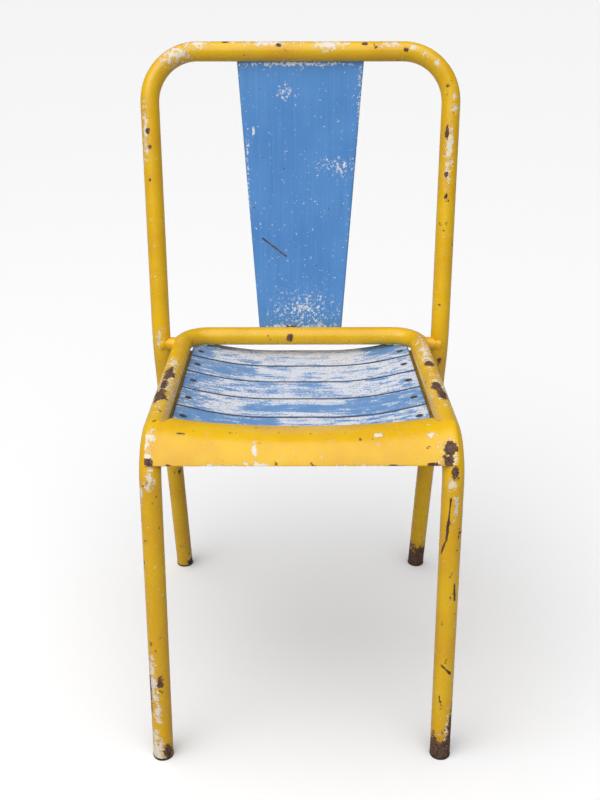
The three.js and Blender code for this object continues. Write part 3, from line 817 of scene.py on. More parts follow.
chipSpots = {
    "hoopTube": [
        ("chip", (-0.165, 0.211, 0.796), (0.016, 0.012, 0.011), 0.80),
        ("chip", (-0.135, 0.217, 0.809), (0.014, 0.010, 0.005), 0.75),
        ("rust", (-0.098, 0.221, 0.811), (0.006, 0.003, 0.003), 0.95),
        ("chip", (-0.038, 0.218, 0.810), (0.034, 0.005, 0.004), 0.85),
        ("rust", (-0.028, 0.216, 0.808), (0.003, 0.003, 0.003), 0.90),
        ("chip", (0.035, 0.215, 0.807), (0.014, 0.009, 0.005), 1.10),
        ("chip", (0.060, 0.217, 0.809), (0.005, 0.002, 0.002), 1.00),
        ("rust", (0.084, 0.217, 0.809), (0.004, 0.003, 0.003), 1.00),
        ("chip", (0.119, 0.215, 0.808), (0.010, 0.004, 0.003), 0.90),
        ("rust", (0.139, 0.213, 0.803), (0.003, 0.003, 0.004), 1.00),
        ("chip", (0.149, 0.214, 0.805), (0.004, 0.003, 0.003), 1.00),
        ("chip", (0.164, 0.211, 0.797), (0.003, 0.003, 0.003), 1.00),
        ("chip", (0.180, 0.209, 0.787), (0.004, 0.003, 0.004), 1.00),
        ("chip", (-0.207, 0.190, 0.700), (0.003, 0.010, 0.038), 0.90),
        ("rust", (-0.204, 0.189, 0.702), (0.003, 0.004, 0.004), 0.95),
        ("rust", (-0.202, 0.184, 0.683), (0.003, 0.003, 0.004), 1.00),
        ("rust", (-0.203, 0.174, 0.641), (0.002, 0.003, 0.003), 0.90),
        ("chip", (-0.196, 0.127, 0.432), (0.004, 0.005, 0.012), 0.75),
        ("chip", (0.204, 0.199, 0.747), (0.003, 0.003, 0.003), 1.00),
        ("chip", (0.206, 0.196, 0.731), (0.004, 0.003, 0.004), 0.90),
        ("chip", (0.200, 0.184, 0.682), (0.004, 0.010, 0.024), 1.10),
        ("chip", (0.199, 0.180, 0.667), (0.005, 0.010, 0.050), 0.62),
        ("rust", (0.196, 0.189, 0.698), (0.002, 0.006, 0.009), 1.00),
        ("rust", (0.197, 0.177, 0.648), (0.003, 0.004, 0.004), 1.00),
        ("rust", (0.197, 0.170, 0.620), (0.002, 0.003, 0.003), 1.00),
        ("rust", (0.196, 0.127, 0.397), (0.004, 0.006, 0.006), 0.90),
        ("rust", (0.186, 0.216, 0.018), (0.030, 0.030, 0.034), 1.00),
        ("rust", (0.196, 0.198, 0.098), (0.004, 0.004, 0.006), 0.95),
        ("rust", (0.198, 0.190, 0.130), (0.003, 0.004, 0.007), 0.85),
        ("rust", (-0.184, 0.215, 0.009), (0.007, 0.010, 0.007), 0.95),
        ("chip", (-0.175, 0.212, 0.012), (0.006, 0.010, 0.012), 1.00),
        ("rust", (-0.184, 0.170, 0.196), (0.003, 0.004, 0.006), 1.00),
        ("chip", (0.205, 0.232, 0.610), (0.006, 0.012, 0.030), 0.70),
        ("chip", (-0.110, 0.236, 0.800), (0.030, 0.004, 0.006), 0.70),
        ("rust", (0.070, 0.236, 0.795), (0.010, 0.004, 0.005), 0.75),
        ("rust", (-0.205, 0.163, 0.420), (0.004, 0.005, 0.014), 0.75),
        ("chip", (0.200, 0.165, 0.300), (0.004, 0.006, 0.018), 0.70),
    ],
    "seatTube": [
        ("rust", (-0.168, -0.012, 0.436), (0.007, 0.018, 0.008), 1.00),
        ("rust", (-0.171, -0.044, 0.436), (0.006, 0.018, 0.008), 0.85),
        ("rust", (-0.172, -0.078, 0.436), (0.009, 0.020, 0.010), 1.00),
        ("chip", (-0.168, -0.045, 0.436), (0.012, 0.060, 0.010), 0.60),
        ("chip", (-0.167, 0.026, 0.436), (0.005, 0.014, 0.006), 0.85),
        ("chip", (0.167, 0.066, 0.435), (0.007, 0.040, 0.008), 0.85),
        ("rust", (0.168, 0.022, 0.436), (0.006, 0.010, 0.006), 1.00),
        ("rust", (0.168, -0.054, 0.436), (0.006, 0.013, 0.008), 1.05),
        ("rust", (0.172, -0.080, 0.436), (0.006, 0.012, 0.008), 1.05),
        ("chip", (0.170, -0.060, 0.436), (0.010, 0.040, 0.010), 0.62),
        ("rust", (-0.015, 0.151, 0.423), (0.005, 0.004, 0.005), 1.10),
        ("rust", (0.171, -0.210, 0.394), (0.004, 0.005, 0.008), 1.10),
        ("chip", (-0.170, -0.212, 0.394), (0.004, 0.005, 0.010), 0.90),
        ("chip", (-0.172, -0.214, 0.382), (0.005, 0.004, 0.005), 1.10),
        ("chip", (0.167, -0.214, 0.382), (0.004, 0.004, 0.006), 1.15),
        ("chip", (-0.182, -0.209, 0.368), (0.003, 0.006, 0.010), 0.75),
        ("chip", (0.174, -0.216, 0.352), (0.002, 0.004, 0.014), 0.90),
        ("chip", (-0.183, -0.226, 0.142), (0.005, 0.008, 0.012), 0.95),
        ("chip", (-0.182, -0.228, 0.118), (0.006, 0.008, 0.012), 1.10),
        ("chip", (-0.181, -0.229, 0.095), (0.005, 0.008, 0.012), 0.95),
        ("chip", (-0.178, -0.231, 0.070), (0.004, 0.006, 0.013), 1.05),
        ("rust", (-0.186, -0.223, 0.104), (0.004, 0.010, 0.036), 0.70),
        ("rust", (-0.172, -0.229, 0.122), (0.005, 0.006, 0.010), 0.75),
        ("chip", (-0.184, -0.231, 0.034), (0.005, 0.010, 0.010), 0.85),
        ("chip", (-0.182, -0.234, 0.013), (0.008, 0.012, 0.015), 1.20),
        ("rust", (-0.168, -0.234, 0.012), (0.007, 0.010, 0.014), 0.85),
        ("rust", (-0.176, -0.212, 0.010), (0.012, 0.008, 0.012), 0.80),
        ("rust", (0.178, -0.226, 0.010), (0.030, 0.030, 0.026), 1.05),
        ("rust", (0.187, -0.228, 0.040), (0.005, 0.012, 0.040), 0.90),
        ("chip", (0.181, -0.236, 0.040), (0.002, 0.006, 0.034), 1.00),
    ],
    "apronSheet": [
        ("chip", (-0.171, -0.190, 0.428), (0.006, 0.012, 0.008), 0.85),
        ("chip", (-0.173, -0.203, 0.415), (0.006, 0.008, 0.012), 0.80),
        ("rust", (-0.171, -0.208, 0.407), (0.005, 0.004, 0.006), 1.00),
        ("chip", (-0.053, -0.200, 0.418), (0.0020, 0.012, 0.010), 1.30),
        ("rust", (-0.137, -0.180, 0.431), (0.005, 0.002, 0.002), 1.00),
        ("rust", (-0.149, -0.211, 0.404), (0.004, 0.003, 0.003), 1.15),
        ("chip", (-0.047, -0.210, 0.405), (0.006, 0.003, 0.0018), 0.95),
        ("chip", (-0.062, -0.207, 0.407), (0.003, 0.002, 0.002), 1.00),
        ("rust", (0.165, -0.198, 0.419), (0.006, 0.008, 0.011), 1.15),
        ("rust", (0.163, -0.208, 0.409), (0.006, 0.006, 0.008), 1.10),
        ("rust", (0.172, -0.199, 0.420), (0.003, 0.003, 0.004), 1.10),
        ("chip", (0.166, -0.200, 0.417), (0.011, 0.012, 0.016), 0.60),
        ("chip", (0.087, -0.180, 0.427), (0.006, 0.003, 0.003), 0.95),
        ("chip", (0.144, -0.183, 0.430), (0.005, 0.003, 0.002), 0.95),
        ("chip", (-0.100, -0.2105, 0.4045), (0.040, 0.003, 0.0012), 0.55),
        ("chip", (0.060, -0.2105, 0.4045), (0.050, 0.003, 0.0012), 0.50),
        ("rust", (0.147, -0.210, 0.405), (0.006, 0.003, 0.003), 1.10),
        ("rust", (0.100, -0.210, 0.404), (0.014, 0.003, 0.002), 0.72),
        # a thin dark line along the whole bottom edge: some rust, and painted shade under the edge
        ("rust", (0.000, -0.2112, 0.4035), (0.190, 0.003, 0.0010), 0.60),
    ],
    "splatSheet": [
        ("chip", (-0.002, 0.223, 0.7835), (0.062, 0.006, 0.0022), 0.80),
        ("chip", (-0.064, 0.211, 0.698), (0.0016, 0.004, 0.005), 1.10),
        ("chip", (-0.018, 0.218, 0.750), (0.012, 0.008, 0.008), 0.44),
        ("chip", (0.055, 0.206, 0.652), (0.026, 0.008, 0.010), 0.44),
        ("chip", (0.080, 0.214, 0.700), (0.003, 0.010, 0.080), 0.64),
        ("chip", (0.004, 0.180, 0.455), (0.036, 0.014, 0.026), 0.42),
        ("rust", (-0.012, 0.177, 0.428), (0.012, 0.006, 0.006), 0.95),
        ("chip", (0.000, 0.177, 0.430), (0.056, 0.006, 0.004), 0.66),
        ("chip", (-0.072, 0.203, 0.620), (0.002, 0.012, 0.090), 0.50),
    ],
}

# (start, end, half width) of the dark scratches that reach the steel
scratches = {
    "seatTube": [
        ((0.168, -0.215, 0.366), (0.167, -0.216, 0.336), 0.0009),
        ((0.167, -0.216, 0.336), (0.166, -0.216, 0.312), 0.0013),
        ((0.166, -0.216, 0.312), (0.160, -0.214, 0.290), 0.0011),
        ((0.179, -0.213, 0.330), (0.178, -0.216, 0.296), 0.0014),
        ((0.178, -0.216, 0.296), (0.179, -0.218, 0.255), 0.0009),
        ((0.178, -0.220, 0.255), (0.180, -0.221, 0.232), 0.0011),
        ((0.169, -0.228, 0.142), (0.181, -0.228, 0.129), 0.0013),
        ((0.167, -0.230, 0.104), (0.170, -0.231, 0.088), 0.0009),
        ((0.171, -0.232, 0.090), (0.170, -0.233, 0.074), 0.0009),
        ((-0.176, -0.221, 0.208), (-0.175, -0.222, 0.196), 0.0007),
    ],
    "splatSheet": [
        ((-0.053, 0.193, 0.556), (-0.020, 0.190, 0.531), 0.0008),
    ],
}
scratchStrength = 1.3


def meshPoints(piece):
    flat = np.empty(3 * len(piece.data.vertices))
    piece.data.vertices.foreach_get("co", flat)
    return flat.reshape(-1, 3)


def storeLayer(piece, name, values):
    layer = piece.data.attributes.new(name, "FLOAT", "POINT")
    layer.data.foreach_set("value", np.clip(values, 0, 2).astype(np.float32))


def spotFalloff(points, place, reach):
    # 1 at the middle, 0.5 at the reach, and 0 at twice the reach
    away = np.linalg.norm((points - np.array(place)) / np.array(reach), axis=1)
    return np.clip(1 - away / 2, 0, 1)


def scratchFalloff(points, start, end, halfWidth):
    start, end = np.array(start), np.array(end)
    along = np.clip((points - start) @ (end - start) / np.dot(end - start, end - start), 0, 1)
    away = np.linalg.norm(points - start - along[:, None] * (end - start), axis=1)
    return np.clip(1 - away / (halfWidth * 2), 0, 1)


def paintWear(piece):
    points = meshPoints(piece)
    layers = {"chip": np.zeros(len(points)), "rust": np.zeros(len(points))}
    for kind, place, reach, strength in chipSpots.get(piece.name, []):
        layers[kind] = np.maximum(layers[kind], strength * spotFalloff(points, place, reach))
    layers["scratch"] = np.zeros(len(points))
    for start, end, halfWidth in scratches.get(piece.name, []):
        falloff = scratchFalloff(points, start, end, halfWidth)
        layers["scratch"] = np.maximum(layers["scratch"], scratchStrength * falloff)
    for kind, values in layers.items():
        storeLayer(piece, kind, values)


yellowPieces = [hoopPiece, seatPiece, apronPiece] + lugPieces + supportPieces
for piece in yellowPieces + [splatPiece]:
    paintWear(piece)


# worn places of the slats: (slat, from x, to x, from depth share, to depth share, wear)
slatWear = [
    (1, -0.20, 0.20, 0.00, 1.00, 0.34),
    (1, -0.03, 0.085, 0.45, 1.00, 0.60),
    (1, 0.085, 0.19, 0.20, 1.00, 0.52),
    (1, -0.20, 0.20, 0.00, 0.16, 0.26),
    (2, -0.20, 0.20, 0.00, 1.00, 0.47),
    (2, -0.115, -0.075, 0.20, 1.00, 0.68),
    (2, -0.07, 0.055, 0.25, 0.64, 0.26),
    (2, -0.08, 0.055, 0.68, 1.00, 0.58),
    (2, -0.11, 0.05, 0.00, 0.22, 0.62),
    (2, 0.06, 0.14, 0.00, 0.90, 0.34),
    (3, -0.20, -0.10, 0.00, 1.00, 0.44),
    (3, -0.10, 0.02, 0.00, 0.30, 0.68),
    (3, -0.10, 0.02, 0.30, 1.00, 0.50),
    (3, 0.02, 0.20, 0.00, 1.00, 0.58),
    (4, -0.20, -0.06, 0.30, 1.00, 0.36),
    (4, -0.20, -0.06, 0.00, 0.25, 0.52),
    (4, -0.06, 0.20, 0.00, 1.00, 0.63),
    (5, -0.20, -0.12, 0.00, 1.00, 0.38),
    (5, -0.12, -0.06, 0.00, 1.00, 0.58),
    (5, -0.06, 0.09, 0.00, 1.00, 0.68),
    (5, 0.09, 0.20, 0.20, 1.00, 0.36),
    (5, 0.09, 0.20, 0.00, 0.20, 0.60),
]
slatAgeAndShade = {
    "wornElsewhere": 0.45,
    "softAcross": 0.012,
    "softDepth": 0.10,
    # these darken the slats' sides and edges: old dirt and painted shade in the gaps
    "sideDirtAndShadeStart": 0.0002,
    "sideDirtAndShadeFade": 0.0008,
    "edgeDirtAndShade": 1.2,
    "edgeFade": 0.0016,
}


def paintSlatWearAndShade(piece, number):
    points = meshPoints(piece)
    low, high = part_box(f"slat_{number}")
    share = (points[:, 1] - low.y) / (high.y - low.y)
    worn = np.full(len(points), slatAgeAndShade["wornElsewhere"])
    for slatNumber, left, right, front, rear, wear in slatWear:
        if slatNumber != number:
            continue
        inside = np.minimum.reduce([
            (points[:, 0] - left) / slatAgeAndShade["softAcross"],
            (right - points[:, 0]) / slatAgeAndShade["softAcross"],
            (share - front) / slatAgeAndShade["softDepth"] + (1 if front == 0 else 0),
            (rear - share) / slatAgeAndShade["softDepth"] + (1 if rear == 1 else 0),
        ])
        blend = np.clip(inside + 0.5, 0, 1)
        worn = worn * (1 - blend) + wear * blend
    storeLayer(piece, "worn", worn)
    # the sides and ends below the upper face, and a thin band along every edge of it, are darkened: old
    # dirt, and painted shade for the gaps between the slats and beside the tubes
    top = slatMiddle[number] + np.array([slatRise(x) for x in points[:, 0]])
    below = (top - points[:, 2] - slatAgeAndShade["sideDirtAndShadeStart"]) / slatAgeAndShade["sideDirtAndShadeFade"]
    toEnd = [openingHalfWidth(y) - abs(x) for x, y, z in points]
    toEdge = np.minimum.reduce([points[:, 1] - low.y, high.y - points[:, 1], toEnd])
    edgeDirtAndShade = slatAgeAndShade["edgeDirtAndShade"] - toEdge / slatAgeAndShade["edgeFade"]
    # the grime layer holds this old dirt and painted shade
    storeLayer(piece, "grime", np.maximum(below, edgeDirtAndShade))


for number, piece in zip(slatMiddle, slatPieces):
    paintSlatWearAndShade(piece, number)
print("wear painted")


# Materials: the groups put out masks, colours and heights, and the shaders stay in the materials

def newGroup(name, inputs, outputs):
    group = bpy.data.node_groups.new(name, "ShaderNodeTree")
    for socketName, kind, value in inputs:
        socket = group.interface.new_socket(socketName, in_out="INPUT", socket_type=kind)
        if value is not None:
            socket.default_value = value
    for socketName, kind in outputs:
        group.interface.new_socket(socketName, in_out="OUTPUT", socket_type=kind)
    return group


class Wiring:
    # short ways to add and join nodes in one tree
    def __init__(self, tree):
        self.tree = tree

    def node(self, kind, **settings):
        made = self.tree.nodes.new(kind)
        for name, value in settings.items():
            setattr(made, name, value)
        return made

    def join(self, source, target):
        if isinstance(source, bpy.types.NodeSocket):
            self.tree.links.new(source, target)
        else:
            target.default_value = source

    def math(self, operation, *values):
        made = self.node("ShaderNodeMath", operation=operation)
        for socket, value in zip(made.inputs, values):
            self.join(value, socket)
        return made.outputs[0]

    def ramp(self, value, low, high):
        # 0 below low, 1 above high
        made = self.node("ShaderNodeMapRange", interpolation_type="SMOOTHSTEP")
        self.join(value, made.inputs["Value"])
        self.join(low, made.inputs["From Min"])
        self.join(high, made.inputs["From Max"])
        return made.outputs["Result"]

    def blend(self, share, first, second):
        made = self.node("ShaderNodeMix", data_type="RGBA")
        for value, socket in ((share, made.inputs[0]), (first, made.inputs[6]), (second, made.inputs[7])):
            self.join((*value, 1) if isinstance(value, tuple) else value, socket)
        return made.outputs[2]

    def noise(self, place, scale, detail=3.0, rough=0.55):
        made = self.node("ShaderNodeTexNoise")
        self.join(place, made.inputs["Vector"])
        self.join(scale, made.inputs["Scale"])
        made.inputs["Detail"].default_value = detail
        made.inputs["Roughness"].default_value = rough
        return made.outputs["Fac"]

    def stretched(self, place, scale):
        made = self.node("ShaderNodeMapping")
        self.join(place, made.inputs["Vector"])
        made.inputs["Scale"].default_value = scale
        return made.outputs["Vector"]

    def layer(self, name):
        return self.node("ShaderNodeAttribute", attribute_name=name).outputs["Fac"]

    def place(self):
        return self.node("ShaderNodeTexCoord").outputs["Object"]

    def group(self, group, **values):
        made = self.node("ShaderNodeGroup", node_tree=group)
        for name, value in values.items():
            self.join((*value, 1) if isinstance(value, tuple) else value, made.inputs[name])
        return made.outputs


def raggedMaskGroup():
    # turns a soft painted layer into a hard, ragged patch; stray adds small specks anywhere
    group = newGroup("raggedMask", [
        ("Layer", "NodeSocketFloat", 0.0), ("Grain", "NodeSocketFloat", 300.0),
        ("Ragged", "NodeSocketFloat", 0.5), ("Stray", "NodeSocketFloat", 0.3),
    ], [("Mask", "NodeSocketFloat")])
    w = Wiring(group)
    given = w.node("NodeGroupInput").outputs
    put = w.node("NodeGroupOutput").inputs
    place = w.place()
    fine = w.noise(place, given["Grain"], 4.0, 0.62)
    broad = w.noise(place, w.math("MULTIPLY", given["Grain"], 0.28), 2.0)
    shake = w.math("MULTIPLY", w.math("SUBTRACT", w.math("ADD", fine, broad), 1.0), given["Ragged"])
    edge = w.math("ADD", given["Layer"], w.math("MULTIPLY", shake, 2.0))
    gate = w.ramp(given["Layer"], 0.02, 0.2)
    patch = w.math("MULTIPLY", w.ramp(edge, 0.47, 0.53), gate)
    speck = w.ramp(w.math("MULTIPLY", fine, w.ramp(broad, 0.5, 0.72)),
                   w.math("SUBTRACT", 0.72, given["Stray"]), w.math("SUBTRACT", 0.74, given["Stray"]))
    w.join(w.math("MAXIMUM", patch, speck), put["Mask"])
    return group


def rustToneGroup():
    group = newGroup("rustTone", [], [("Color", "NodeSocketColor"), ("Height", "NodeSocketFloat")])
    w = Wiring(group)
    put = w.node("NodeGroupOutput").inputs
    place = w.place()
    coarse = w.noise(place, 260.0, 5.0, 0.65)
    fine = w.noise(place, 900.0, 3.0)
    dark = w.blend(w.ramp(coarse, 0.38, 0.62), (0.035, 0.017, 0.012), (0.135, 0.062, 0.034))
    w.join(w.blend(w.ramp(fine, 0.58, 0.7), dark, (0.30, 0.20, 0.13)), put["Color"])
    w.join(coarse, put["Height"])
    return group


def agedCoatGroup():
    # slow drift of a paint's tone, with faint grime spots
    group = newGroup("agedCoat", [
        ("Color", "NodeSocketColor", None), ("Deep", "NodeSocketColor", None),
        ("Grime", "NodeSocketFloat", 0.3),
    ], [("Color", "NodeSocketColor"), ("Gloss", "NodeSocketFloat")])
    w = Wiring(group)
    given = w.node("NodeGroupInput").outputs
    put = w.node("NodeGroupOutput").inputs
    place = w.place()
    drift = w.ramp(w.noise(place, 14.0, 3.0), 0.35, 0.68)
    tone = w.blend(drift, given["Color"], given["Deep"])
    grime = w.math("MULTIPLY", w.ramp(w.noise(place, 420.0, 4.0, 0.6), 0.62, 0.76), given["Grime"])
    w.join(w.blend(grime, tone, (0.25, 0.13, 0.03)), put["Color"])
    w.join(w.ramp(w.noise(place, 55.0, 4.0), 0.3, 0.7), put["Gloss"])
    return group


raggedMask = raggedMaskGroup()
rustTone = rustToneGroup()
agedCoat = agedCoatGroup()


def newMaterial(name):
    material = bpy.data.materials.new(name)
    material.use_nodes = True
    return material, Wiring(material.node_tree), material.node_tree.nodes["Principled BSDF"].inputs


def addBump(w, shader, height, distance, strength):
    bump = w.node("ShaderNodeBump")
    bump.inputs["Distance"].default_value = distance
    bump.inputs["Strength"].default_value = strength
    w.join(height, bump.inputs["Height"])
    w.join(bump.outputs["Normal"], shader["Normal"])


def glossBetween(w, share, limits):
    low, high = limits
    return w.math("ADD", low, w.math("MULTIPLY", share, high - low))


def wearMasks(w, finish):
    # where the paint is chipped, and where rust or a scratch bares the steel
    chip = w.group(raggedMask, Layer=w.layer("chip"), Grain=finish["chipGrain"],
                   Ragged=finish["chipRagged"], Stray=finish["chipStray"])["Mask"]
    bared = w.math("MAXIMUM", w.layer("rust"), w.layer("scratch"))
    rust = w.group(raggedMask, Layer=bared, Grain=finish["rustGrain"],
                   Ragged=finish["rustRagged"], Stray=finish["rustStray"])["Mask"]
    return chip, rust


yellowFinish = {
    "color": (0.78, 0.465, 0.004),
    "deep": (0.71, 0.385, 0.004),
    "primer": (0.74, 0.68, 0.64),
    "cream": (0.82, 0.68, 0.42),
    "stain": (0.35, 0.16, 0.03),
    "grime": 0.25,
    "chipGrain": 620.0,
    "chipRagged": 1.1,
    "chipStray": 0.205,
    "rustGrain": 260.0,
    "rustRagged": 0.55,
    "rustStray": 0.19,
    "gloss": (0.18, 0.30),
    "orangePeel": 0.06,
    "thickness": 0.00025,
    "relief": 0.8,
}


def makeYellowPaint():
    material, w, shader = newMaterial("yellowPaint")
    coat = w.group(agedCoat, Color=yellowFinish["color"], Deep=yellowFinish["deep"],
                   Grime=yellowFinish["grime"])
    chip, rust = wearMasks(w, yellowFinish)
    steel = w.group(rustTone)
    place = w.place()
    bare = w.blend(w.ramp(w.noise(place, 180.0), 0.42, 0.6), yellowFinish["primer"], yellowFinish["cream"])
    halo = w.ramp(w.layer("rust"), 0.25, 0.7)
    stained = w.blend(w.math("MULTIPLY", halo, 0.35), coat["Color"], yellowFinish["stain"])
    w.join(w.blend(rust, w.blend(chip, stained, bare), steel["Color"]), shader["Base Color"])
    gloss = glossBetween(w, coat["Gloss"], yellowFinish["gloss"])
    dull = w.math("MAXIMUM", w.math("MULTIPLY", chip, 0.55), w.math("MULTIPLY", rust, 0.85))
    w.join(w.math("MAXIMUM", gloss, dull), shader["Roughness"])
    worn = w.math("MAXIMUM", chip, rust)
    pits = w.math("MULTIPLY", w.math("MULTIPLY", steel["Height"], rust), 0.6)
    height = w.math("ADD", w.math("SUBTRACT", 1.0, worn), pits)
    peel = w.math("MULTIPLY", w.noise(place, 240.0, 2.0), yellowFinish["orangePeel"])
    addBump(w, shader, w.math("ADD", height, peel), yellowFinish["thickness"], yellowFinish["relief"])
    return material


splatFinish = {
    "color": (0.078, 0.255, 0.600),
    "deep": (0.094, 0.285, 0.640),
    "primer": (0.72, 0.76, 0.82),
    "paleStreak": (0.22, 0.42, 0.74),
    "darkStreak": (0.05, 0.16, 0.42),
    "streakShare": 0.22,
    "chipGrain": 800.0,
    "chipRagged": 1.0,
    "chipStray": 0.215,
    "rustGrain": 300.0,
    "rustRagged": 0.5,
    "rustStray": 0.14,
    "gloss": (0.30, 0.42),
    "thickness": 0.0002,
    "relief": 0.6,
}


def makeSplatPaint():
    material, w, shader = newMaterial("splatPaint")
    coat = w.group(agedCoat, Color=splatFinish["color"], Deep=splatFinish["deep"], Grime=0.0)
    place = w.place()
    streak = w.noise(w.stretched(place, (260.0, 1.0, 9.0)), 1.0, 3.0)
    paleShare = w.math("MULTIPLY", w.ramp(streak, 0.5, 0.8), splatFinish["streakShare"])
    darkShare = w.math("MULTIPLY", w.ramp(streak, 0.5, 0.25), splatFinish["streakShare"])
    streaked = w.blend(paleShare, coat["Color"], splatFinish["paleStreak"])
    streaked = w.blend(darkShare, streaked, splatFinish["darkStreak"])
    chip, rust = wearMasks(w, splatFinish)
    steel = w.group(rustTone)
    chipped = w.blend(chip, streaked, splatFinish["primer"])
    w.join(w.blend(rust, chipped, steel["Color"]), shader["Base Color"])
    gloss = glossBetween(w, coat["Gloss"], splatFinish["gloss"])
    worn = w.math("MAXIMUM", chip, rust)
    w.join(w.math("MAXIMUM", gloss, w.math("MULTIPLY", worn, 0.7)), shader["Roughness"])
    ripple = w.math("MULTIPLY", w.noise(place, 160.0, 2.0), 0.15)
    addBump(w, shader, w.math("SUBTRACT", ripple, worn), splatFinish["thickness"], splatFinish["relief"])
    return material


slatFinish = {
    "blue": (0.125, 0.270, 0.530),
    "paleBlue": (0.19, 0.34, 0.60),
    "white": (0.66, 0.68, 0.74),
    "grey": (0.36, 0.36, 0.40),
    "dark": (0.030, 0.045, 0.090),
    "grain": (14.0, 260.0, 260.0),
    "patch": (34.0, 110.0, 110.0),
    "gloss": (0.42, 0.72),
    "thickness": 0.0004,
    "relief": 0.7,
}


def makeSlatPaint():
    # blue paint worn through along the grain to a white undercoat and grey wood
    material, w, shader = newMaterial("slatPaint")
    place = w.place()
    grain = w.noise(w.stretched(place, slatFinish["grain"]), 1.0, 5.0, 0.6)
    patch = w.noise(w.stretched(place, slatFinish["patch"]), 1.0, 5.0, 0.65)
    speck = w.noise(place, 420.0, 4.0, 0.6)
    level = w.math("ADD", w.layer("worn"), w.math("MULTIPLY", w.math("SUBTRACT", patch, 0.5), 1.5))
    level = w.math("ADD", level, w.math("MULTIPLY", w.math("SUBTRACT", grain, 0.5), 0.8))
    level = w.math("ADD", level, w.math("MULTIPLY", w.math("SUBTRACT", speck, 0.5), 1.3))
    blue = w.blend(w.ramp(level, 0.30, 0.50), slatFinish["blue"], slatFinish["paleBlue"])
    toWhite = w.blend(w.ramp(level, 0.50, 0.54), blue, slatFinish["white"])
    toGrey = w.blend(w.ramp(level, 0.86, 0.94), toWhite, slatFinish["grey"])
    crack = w.math("MULTIPLY", w.ramp(grain, 0.36, 0.26), 0.7)
    spots = w.math("MULTIPLY", w.ramp(speck, 0.60, 0.66), 0.55)
    # cracks, dirt specks and the grime layer go dark; the grime layer is old dirt and painted shade in the
    # gaps between the slats
    grimeAndPaintedShade = w.math("MAXIMUM", w.math("MAXIMUM", crack, spots), w.layer("grime"))
    w.join(w.blend(grimeAndPaintedShade, toGrey, slatFinish["dark"]), shader["Base Color"])
    w.join(glossBetween(w, w.ramp(level, 0.4, 0.7), slatFinish["gloss"]), shader["Roughness"])
    coat = w.math("SUBTRACT", grain, w.math("MULTIPLY", w.ramp(level, 0.50, 0.58), 0.4))
    addBump(w, shader, coat, slatFinish["thickness"], slatFinish["relief"])
    return material


steelFinish = {"grain": 900.0, "depth": 0.0001, "relief": 0.5}


def makeSteel(name, color, tarnish, roughness, metallic):
    material, w, shader = newMaterial(name)
    place = w.place()
    blotch = w.ramp(w.noise(place, 320.0, 4.0, 0.6), 0.45, 0.65)
    w.join(w.blend(blotch, color, tarnish), shader["Base Color"])
    w.join(w.math("ADD", roughness, w.math("MULTIPLY", blotch, 0.3)), shader["Roughness"])
    shader["Metallic"].default_value = metallic
    grain = w.noise(place, steelFinish["grain"], 3.0)
    addBump(w, shader, grain, steelFinish["depth"], steelFinish["relief"])
    return material


yellowPaint = makeYellowPaint()
splatPaint = makeSplatPaint()
slatPaint = makeSlatPaint()
zincSteel = makeSteel("zincSteel", (0.23, 0.23, 0.24), (0.09, 0.06, 0.045), 0.4, 0.9)
wornSteel = makeSteel("wornSteel", (0.05, 0.042, 0.038), (0.09, 0.045, 0.025), 0.5, 0.6)
for material, pieces in ((yellowPaint, yellowPieces), (splatPaint, [splatPiece]),
                         (slatPaint, slatPieces), (zincSteel, steelPieces), (wornSteel, glidePieces)):
    for piece in pieces:
        piece.data.materials.append(material)
print("materials made")

# Room: a pale floor, a sky and two soft lamps. The camera sees the floor as floorColor and the
# sky as an even skySeen, but they light the chair by bounceColor, and by skyDim and skyBright.

room = {
    "floorRings": (0.6, 2.0, 8.0, 40.0),
    "floorSides": 64,
    "floorRoughness": 0.9,
    "floorColor": (0.93, 0.93, 0.935),
    "bounceColor": (0.38, 0.38, 0.38),
    "skyColor": (1.0, 1.0, 1.0),
    "skyBright": 2.05,
    "skyDim": 0.16,
    "skySeen": 0.93,
    "skyTowards": (-0.22, -0.43, 0.875),
    "skyDimEnd": 0.58,
    "skyBrightStart": 0.80,
    "keyPlace": (-1.3, -1.2, 2.3),
    "keySize": 1.6,
    "keyPower": 9,
    "fillPlace": (1.6, -2.2, 1.4),
    "fillSize": 2.0,
    "fillPower": 2,
    "aim": (0, 0, 0.4),
}


def makeFloor():
    count = room["floorSides"]
    points = [p for radius in room["floorRings"] for p in circle(radius, 0, count)]
    faces = loftFaces(len(room["floorRings"]), count, capped=False)
    faces = [tuple(reversed(f)) for f in faces] + [tuple(range(count))]
    floor = looseShape("floor", points, faces)
    material, w, shader = newMaterial("paleFloor")
    seen = w.node("ShaderNodeLightPath").outputs["Is Camera Ray"]
    w.join(w.blend(seen, room["bounceColor"], room["floorColor"]), shader["Base Color"])
    shader["Roughness"].default_value = room["floorRoughness"]
    floor.data.materials.append(material)


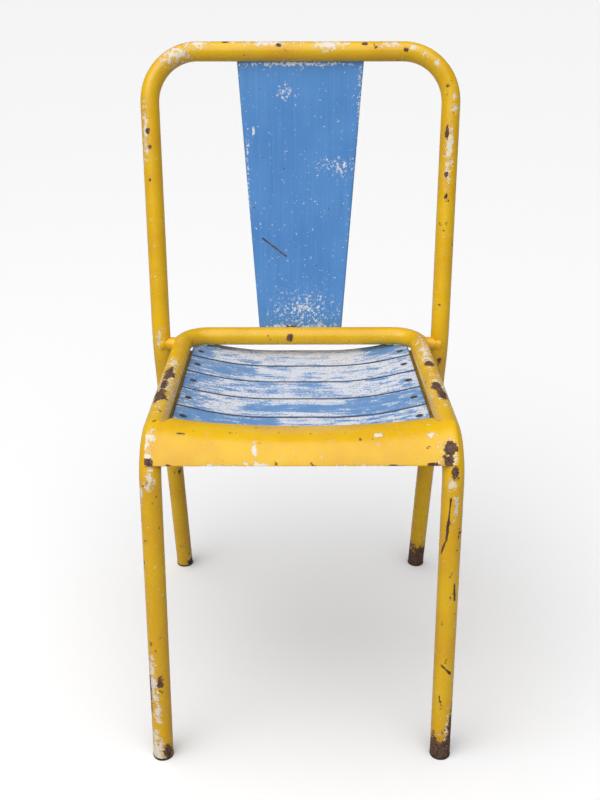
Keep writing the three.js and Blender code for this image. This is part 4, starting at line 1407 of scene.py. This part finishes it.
def softLamp(name, place, size, power):
    light = bpy.data.lights.new(name, "AREA")
    light.shape = "DISK"
    light.size = size
    light.energy = power
    lamp = bpy.data.objects.new(name, light)
    lamp.location = place
    toAim = Vector(room["aim"]) - lamp.location
    lamp.rotation_euler = toAim.to_track_quat("-Z", "Y").to_euler()
    bpy.context.scene.collection.objects.link(lamp)


def makeSky():
    # lights from one bright patch, mostly overhead and towards the front left, and is dim elsewhere
    world = bpy.data.worlds.new("sky")
    world.use_nodes = True
    w = Wiring(world.node_tree)
    direction = w.node("ShaderNodeTexCoord").outputs["Generated"]
    towards = w.node("ShaderNodeVectorMath", operation="DOT_PRODUCT")
    w.join(direction, towards.inputs[0])
    towards.inputs[1].default_value = room["skyTowards"]
    share = w.ramp(towards.outputs["Value"], room["skyDimEnd"], room["skyBrightStart"])
    strength = w.math("ADD", room["skyDim"], w.math("MULTIPLY", share, room["skyBright"] - room["skyDim"]))
    seen = w.node("ShaderNodeLightPath").outputs["Is Camera Ray"]
    lit = w.math("MULTIPLY", w.math("SUBTRACT", 1.0, seen), strength)
    w.join(w.math("ADD", lit, w.math("MULTIPLY", seen, room["skySeen"])),
           world.node_tree.nodes["Background"].inputs["Strength"])
    world.node_tree.nodes["Background"].inputs["Color"].default_value = (*room["skyColor"], 1)
    bpy.context.scene.world = world


makeFloor()
makeSky()
softLamp("keyLamp", room["keyPlace"], room["keySize"], room["keyPower"])
softLamp("fillLamp", room["fillPlace"], room["fillSize"], room["fillPower"])

camera = {
    "place": (-0.0056, -1.2193, 0.9262),
    "pitchDown": radians(26.02),
    "turn": radians(-0.2),
    "lens": 45.93,
    "sensor": 36,
    "shiftUp": 0.0535,
}
lens = bpy.data.cameras.new("camera")
lens.lens = camera["lens"]
lens.sensor_width = camera["sensor"]
lens.shift_y = camera["shiftUp"]
viewer = bpy.data.objects.new("camera", lens)
viewer.location = camera["place"]
viewer.rotation_euler = (pi / 2 - camera["pitchDown"], 0, camera["turn"])
bpy.context.scene.collection.objects.link(viewer)
bpy.context.scene.camera = viewer
bpy.context.scene.view_settings.view_transform = "Standard"
print("room and camera set")
